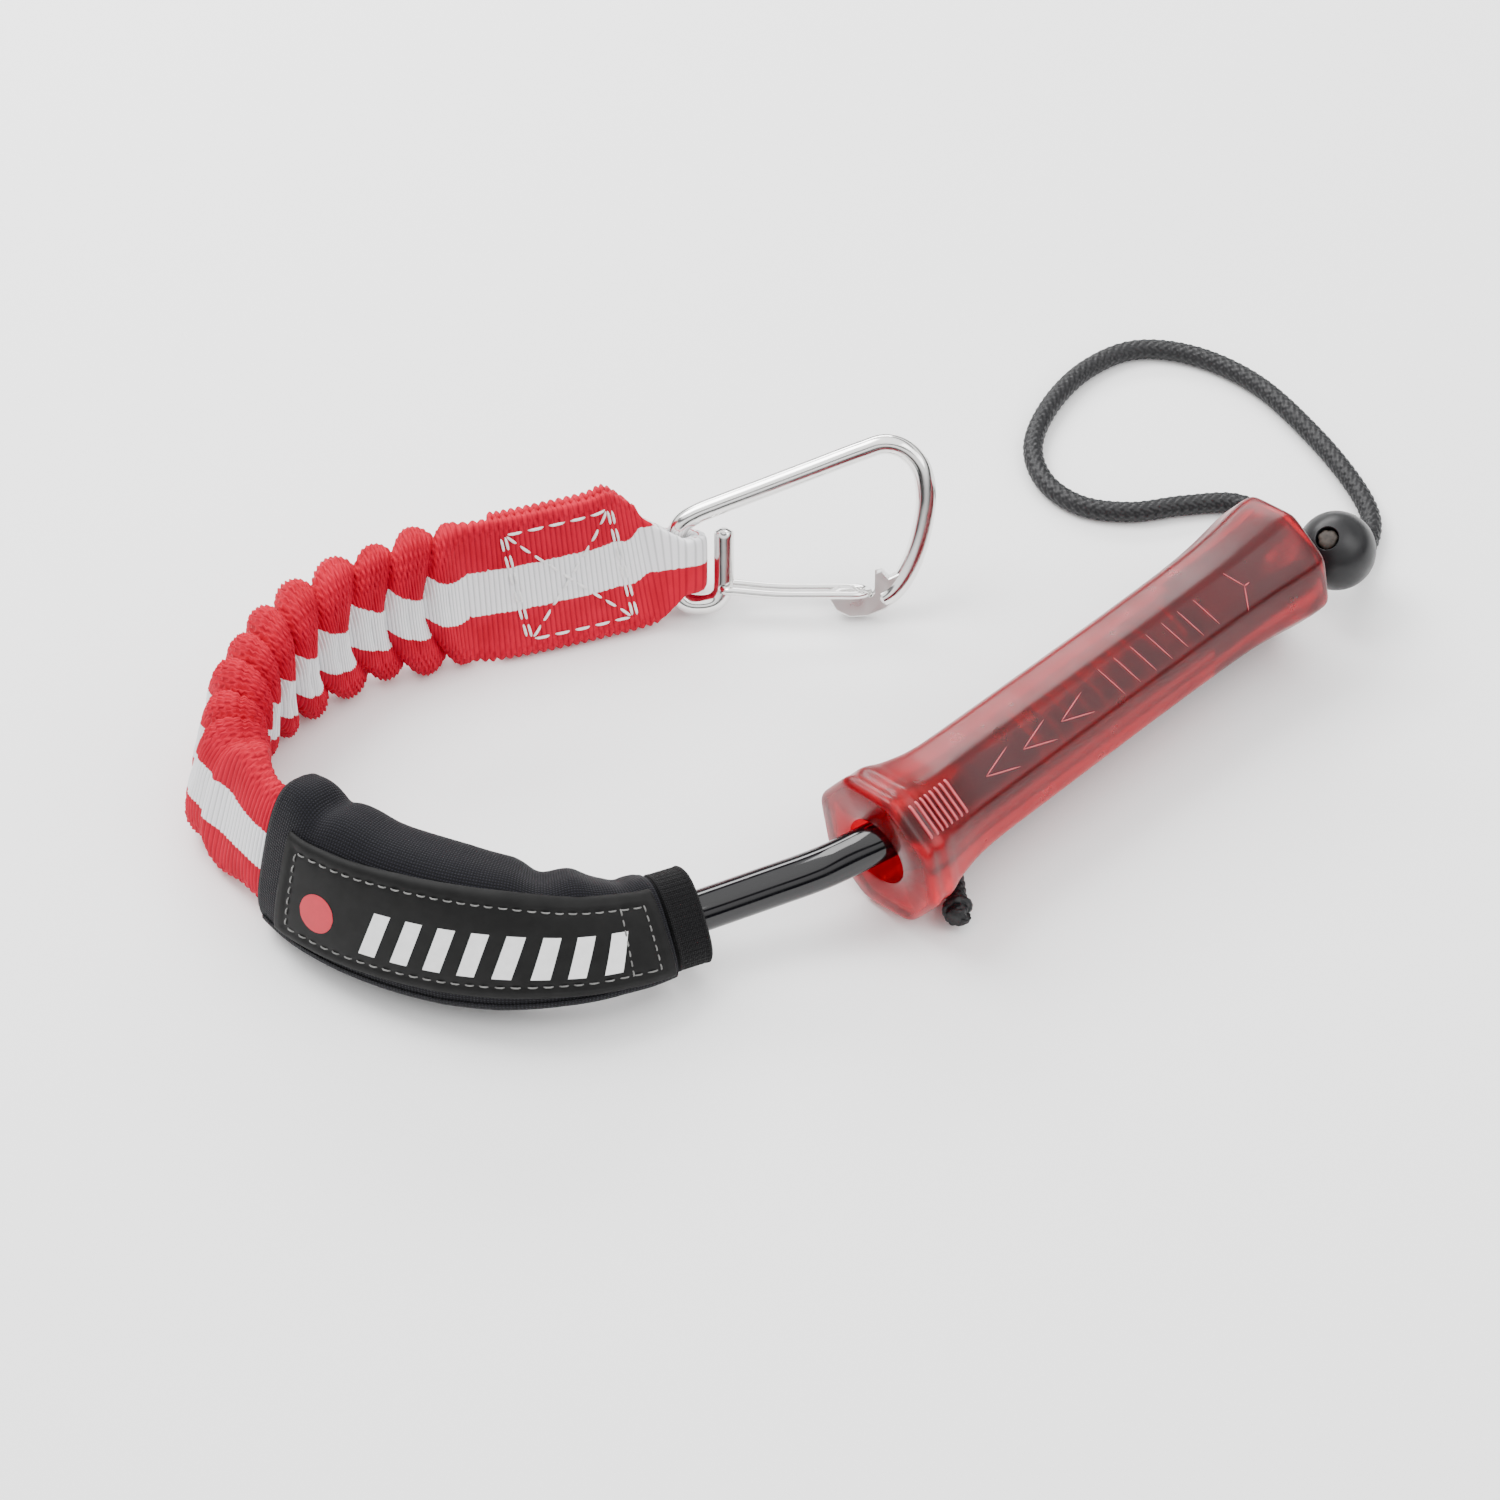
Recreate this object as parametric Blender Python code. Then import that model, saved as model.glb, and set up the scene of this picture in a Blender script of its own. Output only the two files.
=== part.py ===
"""Short safety leash for board and boat sports, lying at rest on a table.

A stainless snap hook hangs in the end loop of a bungee-gathered webbing tether. The tether ends in a
padded neoprene wrap, a PU tube leads its load line into a push-away release, and a ball toggle on a
cord loop is what the release lets go. All sizes below are in millimetres; +Z is up, z = 0 the table.
"""

import math

import bmesh
import bpy
from mathutils import Matrix, Vector

MM = 0.001
GAP = 0.3
# Carries the table's middle point under the object to the origin.
TO_ORIGIN = Vector((-3.2, 11.0, 0.0))

# Release grip: one axis from the face where the tube enters to the face where the ball seats.
GRIP_NEAR = Vector((29.0, -51.0, 19.8))
GRIP_FAR = Vector((129.2, 43.6, 22.9))
GRIP_LENGTH = (GRIP_FAR - GRIP_NEAR).length
GRIP_WAIST = 14.0
GRIP_NEAR_FLARE = 18.4
GRIP_FAR_FLARE = 16.2
GRIP_PROFILE = [
    (0.0, GRIP_NEAR_FLARE - 1.6), (1.6, GRIP_NEAR_FLARE), (6.5, GRIP_NEAR_FLARE - 0.2), (10.5, GRIP_NEAR_FLARE - 1.5),
    (15.0, 15.6), (20.0, 14.7), (28.0, 14.2), (45.0, GRIP_WAIST), (80.0, GRIP_WAIST - 0.2), (104.0, GRIP_WAIST - 0.1),
    (114.0, 14.2), (121.0, 14.7), (127.5, 15.5), (132.5, GRIP_FAR_FLARE), (GRIP_LENGTH - 1.5, GRIP_FAR_FLARE),
    (GRIP_LENGTH, GRIP_FAR_FLARE - 1.2),
]
RIBS_START, RIB_PITCH, RIB_WIDTH, RIB_HEIGHT = 4.5, 1.85, 0.8, 0.6
GRIP_BORE = 8.5
SOCKET_BORE = 11.9
SOCKET_START = 101.0

CORE_RADIUS = 4.6
TUBE_RADIUS, TUBE_BORE = 5.0, 2.6
LINE_RADIUS = 2.2
SPRING_RADIUS, SPRING_WIRE, SPRING_TURNS = 6.6, 0.6, 8

BALL_RADIUS = 9.8
BALL_CENTRE = Vector((143.7, 51.2, 16.8))
BALL_BORE_AXIS = Vector((0.34, 0.40, -0.85)).normalized()
CORD_RADIUS = 2.5

# Snap hook: a bent round rod, leaning back in its own plane.
ROD_RADIUS = 2.5
HOOK_ORIGIN = Vector((-13.1, 45.6, 3.4))
EYE_MIDDLE = (-5.3, 11.2)
HOOK_LEAN = math.radians(30.0)
HOOK_X = Vector((1.0, 0.0, 0.0))
HOOK_Y = Vector((0.0, math.sin(HOOK_LEAN), math.cos(HOOK_LEAN)))
HOOK_N = HOOK_X.cross(HOOK_Y)
GATE_PIVOT = (6.6, 4.6)
GATE_WIRE = 1.0
GATE_HALF_SPREAD = ROD_RADIUS + GAP + GATE_WIRE
GATE_HOLE = 1.3

# Webbing: 38 mm tubular, laid flat as a two-ply strap about 2.6 mm thick.
STRAP_HALF_WIDTH = 18.8
STRAP_PLY = 1.3
LOOP_HALF_WIDTH = 14.2
BIGHT_HALF_WIDTH = 6.8
BIGHT_PLY = 1.9
RUFFLE_PITCH = 10.2


def clear_scene():
    for obj in list(bpy.data.objects):
        bpy.data.objects.remove(obj, do_unlink=True)


def material(name, colour, roughness, metallic=0.0, transmission=0.0):
    made = bpy.data.materials.new(name)
    made.use_nodes = True
    shader = made.node_tree.nodes["Principled BSDF"]
    shader.inputs["Base Color"].default_value = (*colour, 1.0)
    shader.inputs["Roughness"].default_value = roughness
    shader.inputs["Metallic"].default_value = metallic
    shader.inputs["Transmission Weight"].default_value = transmission
    return made


def add_mesh(name, points, faces, finish, smooth=True):
    mesh = bpy.data.meshes.new(name)
    mesh.from_pydata([(Vector(p) + TO_ORIGIN) * MM for p in points], [], faces)
    if finish:
        mesh.materials.append(finish)
    bm = bmesh.new()
    bm.from_mesh(mesh)
    bmesh.ops.recalc_face_normals(bm, faces=bm.faces)
    for face in bm.faces:
        face.smooth = smooth and len(face.verts) <= 4
    bm.to_mesh(mesh)
    bm.free()
    obj = bpy.data.objects.new(name, mesh)
    bpy.context.scene.collection.objects.link(obj)
    return obj


def boolean(obj, cutter, operation):
    cutter.hide_render = True
    cutter.display_type = "WIRE"
    step = obj.modifiers.new(cutter.name, "BOOLEAN")
    step.operation = operation
    step.solver = "EXACT"
    step.object = cutter


def cut(obj, cutter):
    boolean(obj, cutter, "DIFFERENCE")


def join(obj, extra):
    boolean(obj, extra, "UNION")


def catmull(points, count):
    """count points spaced evenly by length along a smooth curve through the given ones."""
    p = [Vector(q) for q in points]
    p = [2 * p[0] - p[1], *p, 2 * p[-1] - p[-2]]
    fine = []
    for a, b, c, d in zip(p, p[1:], p[2:], p[3:]):
        for k in range(16):
            t = k / 16
            fine.append(
                0.5 * (2 * b + (c - a) * t + (2 * a - 5 * b + 4 * c - d) * t**2 + (3 * b - a - 3 * c + d) * t**3)
            )
    fine.append(p[-2])
    return even(fine, count)


def even(line, count):
    lengths = [0.0]
    for a, b in zip(line, line[1:]):
        lengths.append(lengths[-1] + (b - a).length)
    out, k = [], 0
    for i in range(count):
        target = lengths[-1] * i / (count - 1)
        while k < len(line) - 2 and lengths[k + 1] < target:
            k += 1
        span = lengths[k + 1] - lengths[k]
        out.append(line[k].lerp(line[k + 1], (target - lengths[k]) / span if span else 0.0))
    return out


def tangents(line):
    ends = [line[0], *line, line[-1]]
    return [(c - a).normalized() for a, c in zip(ends, ends[2:])]


def frames(line, up):
    """A pair of cross directions at each point, carried along the line without twist."""
    side, out = up, []
    for t in tangents(line):
        side = (side - side.dot(t) * t).normalized()
        out.append((side, t.cross(side)))
    return out


def rounded(half_a, half_b, count, power=2.0):
    """A superellipse: power 2 is an ellipse, larger ones near a rectangle."""
    out = []
    for k in range(count):
        c, s = math.cos(2 * math.pi * k / count), math.sin(2 * math.pi * k / count)
        out.append(
            (half_a * math.copysign(abs(c) ** (2 / power), c), half_b * math.copysign(abs(s) ** (2 / power), s))
        )
    return out


def stitched(rings, closed=False):
    """Faces joining each ring to the next, with end caps unless the last ring meets the first."""
    n, m = len(rings[0]), len(rings)
    points = [p for ring in rings for p in ring]
    faces = []
    for i in range(m if closed else m - 1):
        a, b = i * n, ((i + 1) % m) * n
        faces += [(a + k, a + (k + 1) % n, b + (k + 1) % n, b + k) for k in range(n)]
    if not closed:
        faces.append(tuple(range(n))[::-1])
        faces.append(tuple(range((m - 1) * n, m * n)))
    return points, faces


def sweep(line, radii, sides, up=Vector((0, 0, 1))):
    if not isinstance(radii, (list, tuple)):
        radii = [radii] * len(line)
    rings = []
    for centre, (u, v), r in zip(line, frames(line, up), radii):
        rings.append([centre + u * a + v * b for a, b in rounded(r, r, sides)])
    return rings


def rod(name, line, radii, sides, finish, up=Vector((0, 0, 1))):
    return add_mesh(name, *stitched(sweep(line, radii, sides, up)), finish)


def hose(name, line, outer, inner, sides, finish):
    """A tube open at both ends."""
    rings = sweep(line, outer, sides) + sweep(line, inner, sides)[::-1]
    return add_mesh(name, *stitched(rings, closed=True), finish)


# The grip's own frame: s along its axis, front towards the face with the ribs, side across it.
AXIS = (GRIP_FAR - GRIP_NEAR).normalized()
FRONT = Vector((0.35, -0.433, 0.83))
FRONT = (FRONT - FRONT.dot(AXIS) * AXIS).normalized()
SIDE = AXIS.cross(FRONT)


def grip_point(s, front=0.0, side=0.0):
    return GRIP_NEAR + AXIS * s + FRONT * front + SIDE * side


def turned(profile, sides):
    """Rings of a piece of revolution on the grip's axis, from (s, radius) pairs in order round its section."""
    step = 2 * math.pi / sides
    return [[grip_point(s, r * math.cos(k * step), r * math.sin(k * step)) for k in range(sides)] for s, r in profile]


def ring_piece(name, s0, s1, inner, outer, sides, finish):
    profile = [(s0, inner), (s0, outer), (s1, outer), (s1, inner)]
    return add_mesh(name, *stitched(turned(profile, sides), closed=True), finish)


def plug_piece(name, s0, s1, radius, sides, finish):
    return add_mesh(name, *stitched(turned([(s0, radius), (s1, radius)], sides)), finish)


def grip_box(name, s0, s1, f0, f1, half_side):
    corners = [
        grip_point(s, f, w)
        for s in (s0, s1)
        for f, w in ((f0, -half_side), (f1, -half_side), (f1, half_side), (f0, half_side))
    ]
    return add_mesh(name, *stitched([corners[:4], corners[4:]]), None, smooth=False)


def hook_point(x, y, n=0.0):
    return HOOK_ORIGIN + HOOK_X * x + HOOK_Y * y + HOOK_N * n


def build_hook(steel, gate_steel):
    """The hook's bent rod with its captive eye, its stub end and its flattened nose."""
    route = [
        (6.7, 19.6), (6.7, 15.0), (6.7, 9.5), (6.5, 4.4), (4.9, 1.3), (1.6, 0.2), (-2.4, 0.6), (-4.9, 3.0),
        (-5.3, 6.0), (-5.3, 11.2), (-5.3, 16.6), (-3.8, 20.6), (0.0, 23.2), (6.0, 25.7), (14.0, 28.8),
        (28.0, 34.3), (40.0, 39.0), (46.0, 40.8), (51.2, 39.2), (55.0, 34.5), (56.2, 27.5), (55.4, 20.0),
        (53.6, 13.0), (50.9, 7.0), (47.6, 3.0), (43.4, 0.8),
    ]
    line = catmull([hook_point(x, y) for x, y in route], 60)
    radii = [ROD_RADIUS] * len(line)
    for k, shrink in enumerate((0.55, 0.88)):
        radii[k] = ROD_RADIUS * shrink
    radii[-1] = 1.9
    radii[-2] = 2.1
    hook = rod("hook_body", line, radii, 12, steel, HOOK_N)
    outline = [
        (51.2, 7.0), (49.6, 8.6), (47.2, 7.4), (45.6, 9.2), (44.3, 8.4), (44.2, 3.4), (43.2, 2.1), (41.2, 2.0),
        (39.9, 2.9), (38.2, 4.4), (35.2, 4.9), (33.0, 3.6), (32.6, 1.6), (34.2, -1.0), (37.6, -2.7),
        (42.0, -2.5), (46.6, -0.6), (50.2, 3.0),
    ]
    plate = add_mesh(
        "nose_flat",
        *stitched([[hook_point(x, y, n) for x, y in outline] for n in (-1.9, 1.9)]),
        None,
        smooth=False,
    )
    join(hook, plate)
    px, py = GATE_PIVOT
    hole = rod("gate_hole", [hook_point(px, py, -6), hook_point(px, py, 6)], GATE_HOLE, 16, None, HOOK_Y)
    cut(hook, hole)

    ends = 0.5
    spread = GATE_HALF_SPREAD
    half = [
        (px, py, ends), (px, py, 1.6), (px + 0.1, py, 2.7), (px + 0.9, py - 0.05, spread - 0.1),
        (px + 3.0, py - 0.1, spread), (20.0, 3.6, spread), (34.0, 3.55, spread), (38.6, 3.5, spread - 0.1),
        (41.0, 3.5, spread - 1.2), (42.0, 3.5, spread - 2.6),
    ]
    loop = half + [(42.2, 3.5, 0.0)] + [(x, y, -n) for x, y, n in half[::-1]]
    rod("gate_wire", catmull([hook_point(*p) for p in loop], 50), GATE_WIRE, 8, gate_steel, HOOK_Y)


def strap_section(centre, wide, thick, half_w, half_t, count, power):
    return [centre + wide * a + thick * b for a, b in rounded(half_w, half_t, count, power)]


# The strap's lower edge on the table, from the hook's loop round to the inside of the neoprene wrap.
STRAP_LINE = [
    (-18.4, 45.6), (-23.0, 43.2), (-34.0, 38.9), (-47.0, 34.6), (-58.0, 31.4), (-69.0, 29.2), (-80.5, 25.8),
    (-93.0, 21.4), (-104.5, 15.0), (-114.5, 6.4), (-122.0, -4.2), (-126.3, -15.4), (-127.2, -27.2),
    (-123.2, -38.8), (-115.2, -50.2), (-105.2, -59.0), (-94.4, -66.2),
]
LEAN_LOOP, LEAN_FLAT, LEAN_REST = math.radians(29), math.radians(17), math.radians(-15)
FLAT_UNTIL, OPEN_FROM, RUFFLES_END, CLOSED_AGAIN = 47.0, 60.0, 142.0, 152.0


def blend(x, a, b):
    t = min(max((x - a) / (b - a), 0.0), 1.0)
    return t * t * (3 - 2 * t)


def strap_frame(s, line, length):
    """The foot of the strap at length s, with its level, upward and outward directions."""
    x = min(max(s / length, 0.0), 1.0) * (len(line) - 1)
    k = min(int(x), len(line) - 2)
    foot = line[k].lerp(line[k + 1], x - k)
    along = (line[k + 1] - line[k]).normalized()
    inward = Vector((0, 0, 1)).cross(along)
    lean = LEAN_LOOP + (LEAN_FLAT - LEAN_LOOP) * blend(s, 2, 20) + (LEAN_REST - LEAN_FLAT) * blend(s, 50, 150)
    up = (Vector((0, 0, 1)) * math.cos(lean) - inward * math.sin(lean)).normalized()
    return foot, along, up, along.cross(up)


def build_strap(red):
    """One length of tubular webbing: folded tail, turn round the hook's eye, flat end, gathers, lower end."""
    line = catmull([Vector((x, y, 0.4)) for x, y in STRAP_LINE], 240)
    length = sum((b - a).length for a, b in zip(line, line[1:]))
    count = 12
    outer = []
    eye, eye_up = hook_point(*EYE_MIDDLE), HOOK_Y

    def flat_ring(s, layer):
        foot, _, up, out = strap_frame(s, line, length)
        half_w = LOOP_HALF_WIDTH + (STRAP_HALF_WIDTH - LOOP_HALF_WIDTH) * blend(s, 8, 14)
        middle = foot + up * (half_w + 0.9)
        opening = layer * (1 + 0.6 * (1 - blend(s, 9, 20)))
        return middle + out * opening, up, out, half_w

    layer = STRAP_PLY + 0.2
    for s in (45.5, 42.0, 35.0, 27.0, 19.0, 15.0, 12.0, 9.0):
        centre, up, out, half_w = flat_ring(s, layer)
        outer.append(strap_section(centre, up, -out, half_w, STRAP_PLY, count, 6))
    _, along, _, _ = strap_frame(3.0, line, length)
    back = -(along - along.dot(eye_up) * eye_up).normalized()
    bight = ROD_RADIUS + GAP + 0.1 + BIGHT_PLY
    _, _, _, out0 = strap_frame(9.0, line, length)
    turn = 9
    for k in range(turn + 1):
        angle = math.pi * (-0.5 + k / turn)
        radial = back * math.cos(angle) + eye_up.cross(back) * math.sin(angle)
        if k == 0:
            sign = 1.0 if radial.dot(out0) > 0 else -1.0
        radial = back * math.cos(angle) + eye_up.cross(back) * math.sin(angle) * sign
        outer.append(strap_section(eye + radial * bight, eye_up, -radial, BIGHT_HALF_WIDTH, BIGHT_PLY, count, 6))
    for s in (9.0, 12.0, 15.0, 19.0, 27.0, 35.0, 42.0, 46.0):
        centre, up, out, half_w = flat_ring(s, -layer)
        outer.append(strap_section(centre, up, out, half_w, STRAP_PLY, count, 6))

    inner = []
    s = 50.0
    while s < length - 0.5:
        foot, _, up, out = strap_frame(s, line, length)
        open_share = blend(s, FLAT_UNTIL, OPEN_FROM) * (1 - blend(s, RUFFLES_END, CLOSED_AGAIN))
        wave = math.sin(2 * math.pi * (s - OPEN_FROM) / RUFFLE_PITCH) * blend(s, 56, 66) * (1 - blend(s, 138, 146))
        tucked = blend(s, length - 44, length - 30)
        half_w = STRAP_HALF_WIDTH - 1.5 * open_share + 0.9 * wave - 2.9 * tucked
        half_t = STRAP_PLY + 2.7 * blend(s, 130, 150) + 4.9 * open_share + 1.2 * wave
        half_t += 2.4 * blend(s, 70, 100) * (1 - blend(s, 128, 146))
        centre = foot + up * (STRAP_HALF_WIDTH + 0.6) - out * layer * (1 - blend(s, 46, 58))
        power = 6 - 3.2 * max(open_share, tucked)
        outer.append(strap_section(centre, up, out, half_w, half_t, count, power))
        if s > 58.0:
            hollow_t = min(half_t - 1.0, 4.4)
            hollow_w = min(half_w - 3.0, 10.0)
            inner.append(strap_section(centre, up, out, hollow_w, hollow_t, count, 2.4))
        s += RUFFLE_PITCH / 5 if 54 < s < 148 else 4.5
    rings = outer + inner[::-1]
    points, faces = stitched(rings)
    add_mesh("webbing_tether", points, faces, red)
    return line, length


def strap_middle(line, length, s):
    foot, _, up, out = strap_frame(s, line, length)
    return foot + up * (STRAP_HALF_WIDTH + 0.6)


# The neoprene wrap's middle line, from the strap to the elastic cuff, with its height and thickness.
WRAP_LINE = [
    (-107.4, -49.2, 20.8), (-99.0, -57.4, 20.8), (-88.4, -64.6, 20.8), (-76.5, -70.4, 20.8), (-63.5, -74.6, 20.6),
    (-51.0, -76.6, 20.0), (-38.5, -75.6, 18.0), (-28.0, -72.4, 16.2), (-21.4, -69.0, 15.0),
]
WRAP_LEAN = (15.0, 15.0, 16.0, 17.0, 18.0, 21.0, 26.0, 32.0, 35.0)
WRAP_HALF_HEIGHT = (20.0, 20.0, 19.6, 19.2, 18.8, 17.6, 15.4, 13.6, 12.6)
# The label's lower edge stays the same way above the wrap's: its middle is this far below the wrap's.
LABEL_HALF_HEIGHT = (14.2, 14.2, 14.2, 14.2, 14.0, 13.4, 12.2, 11.4, 10.9)
LABEL_DROP = (1.2, 0.8, -0.2, -1.2, -1.8, -1.8, -1.2, -0.4, 0.3)
WRAP_HALF_THICK = (8.0, 9.6, 10.6, 11.0, 11.0, 10.4, 9.6, 8.8, 8.2)
CUFF_END = Vector((-12.7, -64.3, 13.7))


def spread(values, count):
    out = []
    for i in range(count):
        x = i / (count - 1) * (len(values) - 1)
        k = min(int(x), len(values) - 2)
        out.append(values[k] + (values[k + 1] - values[k]) * (x - k))
    return out


def leaning(line, leans):
    """The upward and outward directions at each point of a level line, leaning inward by leans, in degrees."""
    out = []
    for t, lean in zip(tangents(line), leans):
        side = Vector((t.y, -t.x, 0.0)).normalized()
        a = math.radians(lean)
        up = Vector((0, 0, math.cos(a))) - side * math.sin(a)
        out.append((up, side * math.cos(a) + Vector((0, 0, math.sin(a)))))
    return out


def upright_rings(line, leans, heights, thicks, count, power):
    return [
        strap_section(centre, up, out, h, w, count, power)
        for centre, (up, out), h, w in zip(line, leaning(line, leans), heights, thicks)
    ]


def build_wrap(neoprene, patch, elastic):
    line = catmull([Vector(p) for p in WRAP_LINE], 15)
    heights, thicks, leans = spread(WRAP_HALF_HEIGHT, 15), spread(WRAP_HALF_THICK, 15), spread(WRAP_LEAN, 15)
    outer = upright_rings(line, leans, heights, thicks, 16, 3.2)
    inner = upright_rings(line, leans, [h - 1.5 for h in heights], [w - 2.2 for w in thicks], 16, 3.2)
    add_mesh("neoprene_wrap", *stitched(outer + inner[::-1], closed=True), neoprene)

    # The label lies on the wrap's outer side, a thin curved plate a little clear of it.
    frames_along = leaning(line, leans)
    stations = zip(line, frames_along, spread(LABEL_HALF_HEIGHT, 15), thicks, spread(LABEL_DROP, 15), heights)
    rings = []
    for centre, (up, out), h, w, drop, full in list(stations)[1:]:
        ring = []
        for offset in (0.6, 1.5):
            column = []
            for k in range(8):
                z = h * (2 * k / 7 - 1) - drop
                depth = w * (1 - abs(z / full) ** 3.2) ** (1 / 3.2)
                column.append(centre + up * z + out * (depth + offset))
            ring += column if offset < 1 else column[::-1]
        rings.append(ring)
    add_mesh("label_patch", *stitched(rings), patch, smooth=False)

    # The ribbed elastic cuff squeezes the wrap's end onto the tube.
    ends = [line[-1] + tangents(line)[-1] * 2 * GAP, CUFF_END]
    cuff = even([ends[0], ends[1]], 6)
    ribs = [0.0, 0.35, 0.0, 0.35, 0.0, 0.0]
    outer = upright_rings(cuff, [WRAP_LEAN[-1]] * 6, [11.6 + r for r in ribs], [6.9 + r for r in ribs], 16, 2.6)
    inner = upright_rings(cuff, [WRAP_LEAN[-1]] * 6, [5.9] * 6, [5.6] * 6, 16, 2.0)
    add_mesh("elastic_cuff", *stitched(outer + inner[::-1], closed=True), elastic)


TUBE_LINE = [
    (-62.0, -74.9, 18.4), (-51.0, -76.6, 17.6), (-38.5, -75.6, 16.6), (-28.0, -72.4, 15.6), (-21.4, -69.0, 14.9),
    (-12.7, -64.4, 14.0), (3.0, -58.2, 15.2), (17.0, -53.2, 17.2),
]


def build_line(strap, length, bungee, crimp, dyneema, tube_pu, ferrule):
    """Bungee in the tether, the crimped join, the load line and the tube round it."""
    reach = (length - 62.0) / 18
    route = [strap_middle(strap, length, 62.0 + reach * k) for k in range(19)]
    rod("bungee_core", catmull(route + [Vector((-86.0, -65.8, 20.2))], 36), 2.4, 10, bungee)
    join_line = [Vector((-84.2, -66.9, 20.1)), Vector((-78.0, -69.8, 19.7)), Vector((-71.5, -72.1, 19.3))]
    rod("line_crimp", catmull(join_line, 5), 4.0, 14, crimp)

    tube = [Vector(p) for p in TUBE_LINE] + [grip_point(s) for s in (1.5, 10.0, 20.0, 30.0)]
    tube[-4] = grip_point(1.5, 0.9, -1.9)
    tube[-3] = grip_point(10.0, 0.2, -0.7)
    path = catmull(tube, 24)
    hose("pu_tube", path, TUBE_RADIUS, TUBE_BORE, 12, tube_pu)
    inside = [Vector((-70.9, -72.4, 19.2)), Vector((-66.5, -73.7, 18.8))] + tube[:-1]
    inside += [grip_point(33.5)]
    rod("load_line", catmull(inside, 34), LINE_RADIUS, 8, dyneema)
    ring_piece("tube_ferrule", 17.0 + 13.6, 37.0, 2.8, 6.6, 20, ferrule)


def build_release(red, dark, pale, steel, spring_steel):
    """The sliding grip, and the fixed core that it slides on."""
    bore = [
        (GRIP_LENGTH, SOCKET_BORE), (SOCKET_START, SOCKET_BORE), (SOCKET_START, GRIP_BORE), (0.6, GRIP_BORE),
        (0.0, GRIP_BORE + 0.5),
    ]
    rings = [octagon(s, a) for s, a in GRIP_PROFILE]
    sides = len(rings[0])
    for s, r in bore:
        angles = [2 * math.pi * k / sides for k in range(sides)]
        rings.append([grip_point(s, r * math.cos(a), r * math.sin(a)) for a in angles])
    grip = add_mesh("release_grip", *stitched(rings, closed=True), red)
    for k in range(8):
        s = RIBS_START + RIB_PITCH * k
        low = grip_radius(s + RIB_WIDTH)
        join(grip, grip_box(f"grip_rib_{k}", s, s + RIB_WIDTH, low - 1.2, low + RIB_HEIGHT, 4.6))

    plug = turned(
        [(37.3, 5.6), (46.0, 5.6), (46.0, CORE_RADIUS), (109.6, CORE_RADIUS), (109.6, 1.7), (99.0, 1.7), (99.0, 0.9)], 20
    )
    core = add_mesh("core_spindle", *stitched(plug), dark)
    eye = rod("line_eye", [grip_point(37.0), grip_point(40.0)], 2.6, 12, None)
    cut(core, eye)
    slot = grip_box("pin_slot", 103.2, 105.4, -9, 9, 1.1)
    cut(core, slot)

    socket = plug_piece("socket_head", 103.0 - 0.9, 136.2, 11.3, 32, pale)
    cut(socket, plug_piece("socket_seat", 113.0, 134.2, 10.2, 28, None))
    cut(socket, grip_box("socket_window", 113.0, 134.2, 0.0, 14.0, 10.2))
    cut(socket, grip_box("cord_notch", 133.0, 138.0, -3.4, 14.0, 3.4))
    cut(socket, plug_piece("spindle_bore", 100.0, 110.0, CORE_RADIUS + 0.1, 20, None))
    cut(socket, grip_box("head_pin_hole", 103.2, 105.4, -14, 14, 1.1))
    rod("head_pin", [grip_point(104.3, -10.6), grip_point(104.3, 10.6)], 0.95, 12, steel, AXIS)

    ring_piece("spring_seat", 46.3, 47.8, CORE_RADIUS + 0.1, 7.4, 24, steel)
    ring_piece("guide_bush", 89.6, 96.0, CORE_RADIUS + 0.2, GRIP_BORE - 0.1, 24, pale)
    ring_piece("stop_ring", 96.3, 97.9, CORE_RADIUS + 0.05, 7.2, 24, steel)
    start, end = 48.1 + SPRING_WIRE, 89.3 - SPRING_WIRE
    coil = []
    steps = 12 * SPRING_TURNS
    for k in range(steps + 1):
        turn = 2 * math.pi * SPRING_TURNS * k / steps
        coil.append(
            grip_point(start + (end - start) * k / steps, SPRING_RADIUS * math.cos(turn), SPRING_RADIUS * math.sin(turn))
        )
    rod("return_spring", coil, SPRING_WIRE, 6, spring_steel, AXIS)


def grip_radius(s):
    """The grip's outer apothem at s, straight between the profile's points."""
    for (s0, r0), (s1, r1) in zip(GRIP_PROFILE, GRIP_PROFILE[1:]):
        if s0 <= s <= s1:
            return r0 + (r1 - r0) * (s - s0) / (s1 - s0)
    raise ValueError(f"{s} is off the grip")


def octagon(s, apothem):
    """An octagon with rounded corners, one flat facing front, as points round the grip's axis."""
    out = []
    radius = apothem / math.cos(math.pi / 8)
    rounding = 0.12
    for k in range(8):
        angle = math.pi / 8 + k * math.pi / 4
        for shift in (-rounding, 0.0, rounding):
            reach = radius * (0.985 if shift == 0.0 else math.cos(math.pi / 8) / math.cos(math.pi / 8 - abs(shift)))
            out.append(grip_point(s, reach * math.cos(angle + shift), reach * math.sin(angle + shift)))
    return out


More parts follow.
